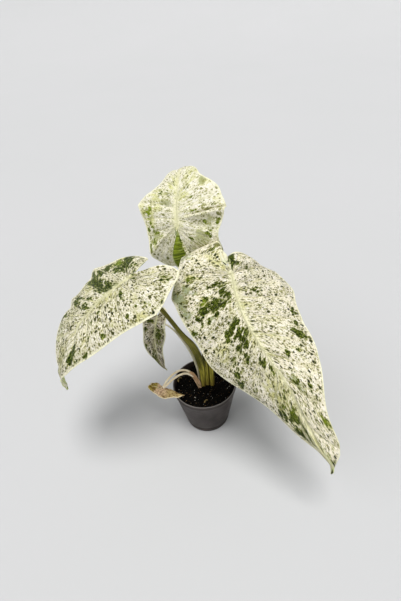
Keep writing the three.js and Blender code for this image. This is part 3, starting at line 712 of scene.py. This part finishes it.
def calc(operation, a, b=0.0):
    """Arithmetic on numbers, or on places."""
    kind = "VectorMath" if isinstance(b, tuple) or a.socket.type == "VECTOR" else "Math"
    return put(a, kind, {0: a, 1: b}, operation=operation)


def clamped(a):
    return put(a, "Clamp", {0: a})


def between(value, low, high, start=0.0, end=1.0):
    """Value, from start at low to end at high, smoothly."""
    return put(value, "MapRange", {0: value, 1: low, 2: high, 3: start, 4: end},
               interpolation_type="SMOOTHSTEP")


def mixed(share, a, b):
    """One colour to another by a share. Plain ones are red, green and blue out of 255."""
    def linear(x):
        x /= 255
        return x / 12.92 if x < 0.04045 else ((x + 0.055) / 1.055) ** 2.4

    a, b = (c if isinstance(c, Field) else (*map(linear, c), 1) for c in (a, b))
    return put(share, "Mix", {0: share, 6: a, 7: b}, data_type="RGBA").out(2)


def over(colour, tone, value, *span):
    """A tone laid over a colour, as far as a value has gone from low to high."""
    return mixed(between(value, *span), colour, tone)


def layer(tree, name):
    return put(tree, "Attribute", {}, attribute_name=name).out("Fac")


def mapped(tree, name):
    return put(tree, "UVMap", {}, uv_map=name)


def place_in(tree):
    return put(tree, "TexCoord", {}).out("Object")


def axis(vector, which):
    return put(vector, "SeparateXYZ", {0: vector}).out(which)


def stretched(vector, scale, place=(0, 0)):
    return put(vector, "Mapping", {0: vector, "Scale": (*scale, 1)[:3], "Location": (*place, 0)})


def mottle(vector, scale, detail=2.0, roughness=0.5, distortion=0.0, place=(0, 0)):
    """Cloudy noise, drawn out where each way has its own scale."""
    if isinstance(scale, tuple):
        vector, scale = stretched(vector, scale, place), 1
    return put(vector, "TexNoise", {0: vector, "Scale": scale, "Detail": detail,
                                    "Roughness": roughness, "Distortion": distortion})


def wobbly(vector, scale, amount):
    """The same places, pushed about by noise, so that a pattern read there has ragged shapes."""
    push = put(vector, "TexNoise", {0: vector, "Scale": scale, "Detail": 3}).out("Color")
    return vector + (push - (0.5, 0.5, 0.5)) * (amount, amount, 0)


def cells(vector, **settings):
    return put(vector, "TexVoronoi", {0: vector, "Scale": 1}, **settings)


def seams(vector):
    """Distance to the lines between cells."""
    return cells(vector, feature="DISTANCE_TO_EDGE")


def lots(vector):
    """Distance to the nearest of scattered middles, and two random numbers of that middle."""
    distance = cells(vector, voronoi_dimensions="2D")
    drawn = put(vector, "SeparateColor", {0: distance.out("Color")})
    return distance, drawn, drawn.out(1)


def dots(vector, share, size, soft):
    """Scattered dots: the share of the middles that have one, and their size."""
    distance, lot, other = lots(vector)
    spot = between(distance - (other * size + 0.5 * size), soft, -soft)
    return spot * calc("LESS_THAN", lot, share)


def blots(vector, green, lift, drop):
    """How far off the nearest ragged blot is: below zero inside it."""
    distance, lot, _ = lots(vector)
    return distance - (lot * 0.34 + (green * lift - drop))


def near_line(value, wide, narrow):
    """One on the lines where a value is whole, falling to nothing beside them."""
    beside = calc("FRACT", value + 0.5) - 0.5
    return between(calc("ABSOLUTE", beside), wide, narrow)


def new_material(name):
    material = bpy.data.materials.new(name)
    material.use_nodes = True
    return material, material.node_tree


def dressed(material, colour, roughness, specular, relief=None, depth=0.0, strength=1.0):
    """Gives a material's shader its colour, its gloss and its relief."""
    sockets = {"Base Color": colour, "Roughness": roughness, "Specular IOR Level": specular}
    if relief:
        bump = {"Height": relief, "Distance": depth, "Strength": strength}
        sockets["Normal"] = put(relief, "Bump", bump)
    fill(material.node_tree.nodes["Principled BSDF"], sockets)
    return material


def variegated_leaf(name, pale, lime, grey_veil_and_shade, speckle, dark, crowding=1.0, rib_width=0.8,
                    fresh_green=(78, 90, 4), milk=(250, 244, 233)):
    """Cream leaf, peppered with fine dots along its veins and splashed with green."""
    material, tree = new_material(name)
    grain, veins = mapped(tree, "grain"), mapped(tree, "veins")
    green, grey, more_lime = (layer(tree, kind) for kind in ("green", "grey", "lime"))
    ragged = wobbly(grain, 5, 0.16)
    cloud = mottle(grain, (1.5, 0.7), 3, 0.55)
    crowd = mottle(grain, (1.3, 0.6), 3, 0.6, place=(5, 2))

    # Cream ground with drifts of pale lime and of milky white
    colour = mixed(between(more_lime * 0.42 + cloud, 0.42, 0.95), pale, lime)
    milky = mottle(grain, (3.4, 1.6), 3, 0.6, place=(1, 9))
    colour = over(colour, milk, milky, 0.46, 0.64, 0, 0.85)

    # Soft grey-green clouds in the veil tone, from noise and from the grey marks; on the top leaf
    # some grey marks are painted shade
    dim = mottle(ragged, (4.6, 2.2), 2, 0.6, place=(3, 3))
    colour = over(colour, grey_veil_and_shade, dim * 1.4 + grey * 0.9, 1.05, 1.5, 0, 0.85)
    colour = over(colour, (178, 180, 120), dim, 0.52, 0.72, 0, 0.6)

    # Fine grit and pepper, then coarser dots drawn out along the side veins
    grit = mottle(grain, (13, 7), 3, 0.65, 0.3, (2, 4)) - (crowd * (-0.22 * crowding) + 0.62)
    colour = over(colour, (144, 142, 84), grit, -0.04, 0.07, 0, 0.55)
    share = crowd * (1.6 * crowding) - 0.4 * crowding
    for size, shape, take_share, strength, soft, fresh in (
            (9, 5.2, 1.1, 0.95, 0.13, 0.05), (6.8, 4.1, 0.8, 1, 0.12, 0.45),
            (4.6, 2.8, 0.36, 1, 0.1, 0.75)):
        where = stretched(ragged, (size, shape), (size, 3 * shape))
        fresh *= min(1, crowding ** 2)
        tint = between(mottle(where, 0.7, 1), 0.35, 0.65, fresh, min(1, fresh + 0.35))
        spot = dots(where, share * take_share, 0.34, soft) * strength
        colour = mixed(spot, colour, mixed(tint, speckle, dark))

    # Green splashes: ragged blots that run together, streaked along the veins and let through
    stray = between(mottle(wobbly(grain, 1.6, 0.5), (2, 1.2)), 0.64, 0.8, 0, 0.8)
    green = calc("MAXIMUM", green, stray * crowding)
    torn = wobbly(wobbly(grain, 6, 0.22), 17, 0.09)
    streaks = mottle(torn, (15, 4), 3, 0.65, place=(8, 1))
    bright = mottle(torn, (10, 3), 3, 0.65, place=(4, 7))
    beyond = blots(stretched(torn, (3.6, 2.3)), green, 1.05, 0.32)
    beyond = beyond + between(streaks, 0.5, 0.7, 0, 0.3)
    colour = over(colour, (160, 162, 84), beyond, 0.26, 0.04, 0, 0.6)
    lush = mixed(between(mottle(torn, 7, 3, 0.6), 0.4, 0.66), dark, fresh_green)
    lush = over(lush, (122, 138, 30), more_lime * (streaks + 0.2), 0.35, 0.7)
    lush = over(lush, (142, 154, 72), bright, 0.54, 0.63, 0, 0.75)
    lush = over(lush, dark, bright, 0.44, 0.36, 0, 0.8)
    splash = between(beyond, 0.09, -0.03)
    colour = mixed(splash, colour, lush)

    # Pale midrib, side veins and margin
    side_vein = near_line(axis(veins, 0), 0.05, 0.008) \
        * between(axis(veins, 1), 0.9, 0.3, 0.03, 0.6) \
        * between(cloud, 0.35, 0.6, 0.35, 1) * between(splash, 0, 1, 1, 0.25)
    base = calc("POWER", clamped(layer(tree, "towards_tip") * -1 + 1), 2.5)
    beside = layer(tree, "from_rib") / (base * (1.6 * rib_width) + 0.6 * rib_width)
    let_through = between(splash, 0, 1, 1, 0.5)
    rib = between(beside, 1.5, 0.6, 0, 0.78) * let_through * clamped(base * 0.4 + 0.62)
    halo = between(beside, 3.6, 0.8, 0, 0.6) * between(milky, 0.35, 0.6)
    lines = calc("MAXIMUM", calc("MAXIMUM", rib, halo), side_vein)
    colour = mixed(lines, colour, mixed(cloud, (240, 237, 200), (218, 216, 156)))
    edge = between(layer(tree, "from_edge") + calc("MAXIMUM", cloud, 0.3) * 1.6, 2.2, 1.1, 0, 0.8)
    colour = mixed(edge * let_through, colour, mixed(cloud, (244, 241, 218), (224, 222, 178)))
    relief = milky * 0.8 + between(seams(stretched(grain, (7.2, 4, 0.8))), 0, 0.16)
    gloss = between(milky, 0.3, 0.7, 0.38, 0.52)
    return dressed(material, colour, gloss, 0.09, relief, 0.0004, 0.7)


def leaf_underside(name, pale, green):
    """The duller back of a leaf, where the green shows through greyer, with raised veins."""
    material, tree = new_material(name)
    grain = mapped(tree, "grain")
    cloud = mottle(grain, (3.4, 1.6), 4, 0.62, 0.4, (1, 9))
    colour = mixed(between(cloud, 0.4, 0.7), pale, (196, 202, 158))
    pepper = dots(stretched(wobbly(grain, 5, 0.16), (7.4, 4.1), (7, 12)), 0.45, 0.36, 0.2)
    colour = mixed(pepper * 0.5, colour, green)
    torn = stretched(wobbly(grain, 7, 0.22), (3.3, 2.6))
    beyond = blots(torn, layer(tree, "green"), 0.92, 0.3)
    colour = over(colour, green, beyond, 0.16, -0.06, 0, 0.8)
    lines = calc("MAXIMUM", between(layer(tree, "from_rib"), 2, 0.8),
                 near_line(axis(mapped(tree, "veins"), 0), 0.06, 0.015))
    colour = mixed(lines, colour, (196, 204, 144))
    return dressed(material, colour, 0.6, 0.2, cloud, 0.0003, 0.6)


def withered_leaf(name):
    """Dry ochre blade: olive and cream ends, brown flecks and cracks, and a pale rim."""
    material, tree = new_material(name)
    grain, where, tip = mapped(tree, "grain"), place_in(tree), layer(tree, "towards_tip")
    cloud = mottle(where, 260, 4, 0.6)
    ochre = mixed(cloud, (204, 186, 134), (156, 130, 72))
    cream = mixed(cloud, (230, 204, 172), (202, 168, 130))
    colour = mixed(between(tip + cloud * 0.5, 0.2, 0.62), cream, ochre)
    olive = mixed(mottle(where, 420), (140, 122, 40), (190, 170, 84))
    colour = over(colour, olive, tip + mottle(where, 190) * 0.6, 0.12, -0.05)
    flecks = mottle(grain, (16, 7), 4, 0.66, 0.4)
    colour = over(colour, (88, 58, 26), flecks, 0.55, 0.61, 0, 0.9)
    cracks = between(seams(stretched(wobbly(grain, 9, 0.2), (3.2, 3.2, 3.2))), 0.1, 0.02)
    colour = mixed(cracks * between(cloud, 0.4, 0.6, 0.15, 0.85), colour, (92, 62, 30))
    rim = layer(tree, "from_edge") + mottle(where, 500) * 1.2
    colour = over(colour, (236, 222, 184), rim, 1.3, 0.8, 0, 0.85)
    colour = over(colour, (120, 84, 44), layer(tree, "from_rib"), 0.7, 0.25, 0, 0.7)
    return dressed(material, colour, 0.75, 0.25, flecks + cloud, 0.0005, 0.7)


def green_stalk(name, light, dark, line, upper):
    """Smooth olive stalk with fine lines along it, browner where it leaves the soil."""
    material, tree = new_material(name)
    route, height = mapped(tree, "route"), layer(tree, "height")
    lines, cloud = mottle(route, (14, 0.35), 4, 0.6), mottle(route, (3, 0.5), 3, 0.6)
    streak = mottle(route, (26, 0.7), 3, 0.6)
    colour = mixed(between(lines, 0.4, 0.6), light, dark)
    colour = over(colour, light, cloud, 0.5, 0.7, 0, 0.6)
    colour = over(colour, line, streak, 0.56, 0.64, 0, 0.75)
    colour = over(colour, (120, 92, 52), height, 62, 45, 0, 0.45)
    colour = over(colour, upper, height, 66, 100, 0, 0.65)
    gloss = between(cloud, 0.3, 0.7, 0.32, 0.46)
    return dressed(material, colour, gloss, 0.16, lines + streak, 0.0002, 0.5)


def dry_stalk(name, pale, dark, stain):
    material, tree = new_material(name)
    route = mapped(tree, "route")
    fibres = mottle(route, (12, 0.6), 4, 0.65)
    stains = mottle(route, (3, 1.2), 4, 0.6, 0.4)
    colour = mixed(between(fibres, 0.35, 0.65), pale, dark)
    colour = over(colour, stain, stains, 0.52, 0.66, 0, 0.8)
    return dressed(material, colour, 0.68, 0.3, fibres, 0.0004, 0.7)


def nursery_plastic(name):
    """Dark grey recycled plastic, with painted shade and a painted warm reflection in its tones:
    fine grain, faint scuffs, a painted highlight along the top of the rim, dust low down.
    """
    material, tree = new_material(name)
    where = place_in(tree)
    high = axis(where, 2)
    cloud, scuff = mottle(where, 60, 4, 0.6), mottle(where, (900, 900, 120), 3, 0.6)
    # The plastic's own dark grey, darkened further and warmed towards brown: painted shade and a
    # painted warm reflection.
    colour = mixed(between(cloud, 0.3, 0.7), (50, 41, 38), (38, 31, 28))
    colour = over(colour, (80, 74, 70), scuff, 0.62, 0.72, 0, 0.3)
    # Painted highlight: the top of the rim is paler.
    colour = over(colour, (132, 128, 124), high, 0.0492, 0.0499, 0, 0.55)
    dust = between(mottle(where, 200, 5, 0.7), 0.45, 0.7) * between(high, 0.03, 0.004, 0.1, 0.4)
    colour = mixed(dust, colour, (84, 76, 66))
    gloss = between(cloud, 0.3, 0.7, 0.42, 0.58)
    return dressed(material, colour, gloss, 0.3, mottle(where, 2400) + scuff, 0.00008, 0.5)


def damp_mix(name, dark, light, size=1.0):
    """Crumbly matter: potting mix, bark or grit, in two tones with a rough grain."""
    material, tree = new_material(name)
    where = place_in(tree)
    clumps, grain = mottle(where, 420 * size, 6, 0.7), mottle(where, 1800 * size, 4, 0.7)
    colour = mixed(between(clumps, 0.38, 0.68), dark, light)
    lighter = [min(255, 1.5 * c) for c in light]
    colour = over(colour, lighter, grain, 0.62, 0.72, 0, 0.5)
    gloss = between(grain, 0.3, 0.7, 0.6, 0.95)
    return dressed(material, colour, gloss, 0.08, clumps + grain, 0.0008, 0.9)


def pale_floor(name):
    material, tree = new_material(name)
    colour = mixed(mottle(place_in(tree), 3), (186, 186, 187), (183, 184, 184))
    return dressed(material, colour, 0.7, 0.25)


# Pot
def ring_up(radius_from, radius_to, rise):
    """Draws an open ring on: up by rise, and out or in to the next radius."""
    ops.mesh.extrude_region_move(TRANSFORM_OT_translate={"value": (0, 0, rise)})
    share = radius_to / radius_from
    ops.transform.resize(value=(share, share, 1), center_override=(0, 0, 0))


def pot_side(z):
    """The pot's outer radius below its band."""
    return POT_BASE + (POT_RIM - BAND_STEP - POT_BASE) * z / BAND_FOOT


def nursery_pot(material):
    profile = [(POT_BASE - less, z) for less, z in ((1.6, 0), (1.1, 0), (0.6, 0.25))]
    profile += [(pot_side(z) + more, z) for more, z in (
        (0, 1), (0, 6.2), (-0.18, 6.6), (0, 7), (0, 20), (0, 34), (0, 44.2), (0.1, 44.8))]
    profile += [(POT_RIM - less, z) for less, z in (
        (0.35, 45.15), (0.22, 45.6), (0.1, 47.6), (0.02, 49), (0.08, 49.6), (0.35, 49.92),
        (0.65, 49.98), (0.95, 49.9), (1.15, 49.6), (POT_WALL + 0.05, 48.5))]
    profile += [(pot_side(z) - wall, z) for wall, z in (
        (POT_WALL, BAND_FOOT), (POT_WALL, 25), (POT_WALL, 2.4), (2, 1.6))]
    deselect()
    ops.mesh.primitive_circle_add(vertices=128, radius=profile[0][0] * MM, fill_type="NGON")
    pot = named("nursery_pot")
    edit(pot, "EDGE")
    ops.mesh.delete(type="ONLY_FACE")
    select_all()
    for (r0, z0), (r1, z1) in zip(profile, profile[1:]):
        ring_up(r0, r1, (z1 - z0) * MM)
    ops.mesh.edge_face_add()
    ops.mesh.select_all(action="DESELECT")
    end_edit()
    spots = [v.co for v in pot.data.vertices]
    for edge in pot.data.edges:
        edge.select = all(abs(spots[i].z) < 1e-6 and spots[i].xy.length < (POT_BASE - 1.5) * MM
                          for i in edge.vertices)
    ops.object.mode_set(mode="EDIT")
    ops.mesh.edge_face_add()
    select_all()
    ops.mesh.normals_make_consistent(inside=False)
    end_edit()

    deselect()
    drills = []
    for i in range(DRAINS):
        angle = tau * i / DRAINS
        spot = (DRAINS_OUT * MM * cos(angle), DRAINS_OUT * MM * sin(angle), 0)
        ops.mesh.primitive_cylinder_add(vertices=28, radius=DRAIN_RADIUS * MM, depth=6 * MM,
                                        location=spot)
        drills.append(context.object)
    drill = joined(drills)
    take(pot)
    cut = pot.modifiers.new("drain", "BOOLEAN")
    cut.operation = "DIFFERENCE"
    cut.object = drill
    ops.object.modifier_apply(modifier="drain")
    bpy.data.objects.remove(drill)

    # The thin wall gives a little, with one shallow dent
    points = points_of(pot) / MM
    x, y, z = points.T
    angle, radius = np.arctan2(y, x), np.hypot(x, y)
    give = ease(z, 4, 40) * ease(radius, 18, 22)
    sway = 0.12 * np.sin(2 * angle + 0.6) + 0.1 * np.sin(3 * angle + z / 14)
    sway = np.minimum(sway - 0.25 * bell(angle + 1.9 + z / 90, 0.16) * bell(z - 30, 11), 0.1)
    points[:, :2] *= (1 + (give * sway / np.maximum(radius, 1)))[:, None]
    set_points(pot, points)
    finish_piece(pot, material, ["pot"], 35)


# Potting mix
def soil_height(x, y):
    lump = np.sin(0.45 * x + 1) * np.cos(0.5 * y) + 0.6 * np.sin(0.9 * x - 0.7 * y)
    from_stalks = np.hypot(x - STALKS_AT[0], y - STALKS_AT[1])
    return SOIL_LEVEL - 0.4 + 0.6 * lump + 1.5 * bell(from_stalks, 8.5)


def potting_mix(material):
    """The mix in the pot: a closed body with a crumbly top."""
    piece, along, turn = fresh_grid("potting_mix", 64, 190)
    u, angle = (along + 1) / 2, (turn + 1) * np.pi
    top_end, wall_end = 0.86, 0.94
    rim, foot = pot_side(SOIL_EDGE) - POT_WALL - 0.05, pot_side(2) - POT_WALL - 0.1
    radius = np.interp(u, (0, top_end, wall_end, 1), (0, rim, foot, 0))
    x, y = radius * np.cos(angle), radius * np.sin(angle)
    flat = np.stack([x, y, 0 * x], -1)
    rough = 0.9 * rumble(flat, 5.5, 1) + 0.7 * rumble(flat, 2.4, 2) + 0.5 * rumble(flat, 1.1, 3)
    inner = ease(rim - radius, 0, 3.5)
    top = (soil_height(x, y) + rough) * inner + (SOIL_EDGE - 0.3 + 0.3 * rough) * (1 - inner)
    below = np.interp(u, (top_end, wall_end), (SOIL_EDGE, SOIL_FOOT))
    set_points(piece, np.stack([x, y, np.where(u <= top_end, top, below)], -1))
    close_up(piece)
    finish_piece(piece, material, ["soil"], 80)


def scattered(name, count, sizes, flat, material, seed, rings, sink=0.0):
    """Crumbs of one kind, each from one rough lump, laid on the mix away from the stalks."""
    rolls = random.Random(seed)
    deselect()
    ops.mesh.primitive_ico_sphere_add(subdivisions=1, radius=1)
    lump = context.object
    shape = points_of(lump)
    crumbs = []
    for _ in range(count):
        crumb = lump.copy()
        crumb.data = lump.data.copy()
        context.collection.objects.link(crumb)
        size = rolls.uniform(*sizes) * rolls.uniform(0.6, 1)
        angle = rolls.uniform(0, tau)
        away = CRUMB_REACH * sqrt(rolls.uniform(rings[0] ** 2, rings[1] ** 2))
        x, y = away * cos(angle), away * sin(angle)
        scale = (1, rolls.uniform(0.5, 0.95), rolls.uniform(*flat))
        jitter = np.array([[rolls.uniform(0.75, 1.2)] for _ in shape])
        turn = rolls.uniform(0, tau)
        spindle = Vector((rolls.uniform(-0.5, 0.5), rolls.uniform(-0.5, 0.5), 1))
        points = (shape * jitter * scale * size) @ np.array(Matrix.Rotation(turn, 3, spindle)).T
        height = soil_height(x, y) - sink * size + rolls.uniform(0, 0.6)
        height -= max(away - 24, 0) * 0.35
        set_points(crumb, points + (x, y, height))
        crumbs.append(crumb)
    bpy.data.objects.remove(lump)
    joined(crumbs)
    finish_piece(named(name), material, (), 30)


# Studio
def added(name, data, at):
    thing = bpy.data.objects.new(name, data)
    context.collection.objects.link(thing)
    thing.location = at
    return thing


def studio():
    """A pale floor that bends up far away, two soft lamps and an even light all round."""
    deselect()
    ops.mesh.primitive_circle_add(vertices=96, radius=FLOOR_REACH, fill_type="TRIFAN")
    floor = named("studio_floor")
    edit(floor, "EDGE")
    ops.mesh.region_to_loop()
    rings = [(FLOOR_REACH, 0)]
    for step in range(1, FLOOR_STEPS + 1):
        bend = radians(FLOOR_TILT * step / FLOOR_STEPS)
        rings.append((FLOOR_REACH + FLOOR_BEND * sin(bend), FLOOR_BEND * (1 - cos(bend))))
    out, up = rings[-1]
    rings.append((out + FLOOR_SIDE * cos(bend), up + FLOOR_SIDE * sin(bend)))
    for (r0, z0), (r1, z1) in zip(rings, rings[1:]):
        ring_up(r0, r1, z1 - z0)
    select_all()
    ops.mesh.normals_make_consistent(inside=True)
    end_edit()
    ops.object.shade_smooth()
    floor.data.materials.append(pale_floor("pale_floor"))
    for name, (shines_from, strength, spread, tint) in LAMPS.items():
        data = bpy.data.lights.new(name, "SUN")
        data.energy = strength
        data.angle = radians(spread)
        data.color = tint
        lamp = added(name, data, shines_from)
        lamp.rotation_euler = (-Vector(shines_from)).to_track_quat("-Z", "Y").to_euler()
    world = bpy.data.worlds.new("studio")
    world.use_nodes = True
    fill(world.node_tree.nodes["Background"], {"Color": AMBIENT_TINT, "Strength": AMBIENT})
    context.scene.world = world
    context.scene.view_settings.view_transform = "Standard"


def camera():
    data = bpy.data.cameras.new("camera")
    data.lens = CAMERA_LENS
    data.sensor_width = 36
    data.clip_start = 0.01
    view = added("camera", data, CAMERA_AT)
    tilt = Matrix.Rotation(radians(90 - CAMERA_DOWN), 3, "X")
    view.rotation_euler = (tilt @ Matrix.Rotation(radians(CAMERA_ROLL), 3, "Z")).to_euler()
    context.scene.camera = view


# Build
def grooved(u, angle):
    """A leaf stalk's form: a groove with two lips along its front, open low down."""
    low = ease(u, 0.62, 0.2)
    groove = -0.16 * bell(angle - 4.71, 0.3) + 0.07 * bell(np.abs(angle - 4.71) - 0.62, 0.22)
    ribs = 0.02 * np.sin(9 * angle) + 0.012 * np.sin(17 * angle)
    return 1 + groove * low + ribs


def shrunken(u, angle):
    return 1 + 0.14 * np.sin(5 * angle + 6 * u) + 0.1 * np.sin(3 * angle - 9 * u) \
        + 0.06 * np.sin(40 * u + 2 * angle)


camera()
studio()

TOPS = {
    "right": variegated_leaf(
        "cream_and_green_leaf", (240, 232, 212), (210, 206, 144), (142, 156, 118),
        (146, 144, 82), (20, 31, 0)),
    "left": variegated_leaf(
        "finely_dotted_leaf", (222, 216, 196), (200, 196, 138), (138, 150, 114), (134, 132, 74),
        (20, 31, 0), 1.12, fresh_green=(76, 90, 8), milk=(241, 236, 224)),
    # The top leaf's veil tone is also the tone of the painted shade that its grey marks lay on the
    # lower right lobe.
    "top": variegated_leaf(
        "paler_leaf", (228, 223, 203), (206, 206, 142), (154, 158, 112), (162, 160, 104),
        (62, 74, 8), 0.7, 1.05, (128, 142, 46), (240, 236, 224)),
}
under = leaf_underside("leaf_underside", (214, 212, 184), (122, 134, 84))
for side, top in TOPS.items():
    leaf_blade(side, top, under)
# The young leaf's tones are its own pinkish grey, darkened further. This is painted shade, because
# the leaf hangs in the shadow of the left leaf.
young_top_painted_shade = variegated_leaf("young_leaf_top", (178, 166, 158), (156, 146, 122), (134, 130, 108),
                            (112, 106, 76), (34, 38, 14), 1.2, 0.35)
young_under = leaf_underside("young_leaf_underside", (190, 190, 172), (98, 110, 76))
leaf_blade("small", young_top_painted_shade, young_under)
dry_leaf = withered_leaf("withered_leaf")
leaf_blade("withered", dry_leaf, dry_leaf)

olive = green_stalk("olive_stalk", (172, 162, 68), (66, 64, 4), (42, 36, 2), (84, 82, 14))
for side in ("left", "right", "top"):
    stalk("stalk_" + side, STALKS[side], olive, ["petiole_" + side], form=grooved)
pale_stalk = green_stalk("pale_stalk", (214, 206, 188), (188, 182, 152), (150, 150, 104),
                         (206, 200, 172))
stalk("stalk_small", STALKS["small"], pale_stalk, ["petiole_small"], 16, 90)
dry_sheath = dry_stalk("dry_sheath", (222, 190, 152), (168, 128, 92), (92, 88, 32))
stalk("withered_sheath", WITHERED_SHEATH, dry_sheath, ["petiole_withered"], 24, 50,
      shrunken)
dry_strand = dry_stalk("dry_strand", (244, 236, 212), (222, 204, 168), (190, 164, 120))
for i, strand in enumerate(WITHERED_STRANDS):
    stalk(f"withered_strand_{i + 1}", strand, dry_strand, [], 14, 70, shrunken)
dry_scrap = dry_stalk("dry_scrap", (166, 146, 96), (122, 102, 60), (84, 76, 44))
for i, scrap in enumerate(DRY_SCRAPS):
    stalk(f"dry_scrap_{i + 1}", scrap, dry_scrap, [], 12, 30, shrunken)

nursery_pot(nursery_plastic("nursery_plastic"))
potting_mix(damp_mix("potting_mix", (2, 2, 1), (14, 10, 7)))
scattered("bark_crumbs", 330, (0.5, 1.5), (0.35, 0.8),
          damp_mix("bark_crumb", (6, 4, 3), (28, 20, 14)), 4, (0.12, 0.98), 0.1)
scattered("fibre_crumbs", 150, (0.22, 0.62), (0.5, 0.9),
          damp_mix("fibre_crumb", (84, 60, 36), (150, 122, 84)), 12, (0.2, 0.97))
scattered("perlite", 64, (0.2, 0.6), (0.6, 1),
          damp_mix("perlite", (184, 180, 168), (226, 223, 214)), 9, (0.2, 0.97))
root_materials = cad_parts["corm_and_roots"].data.materials
root_materials.clear()
root_materials.append(damp_mix("corm_skin", (92, 62, 42), (140, 104, 74), 0.5))
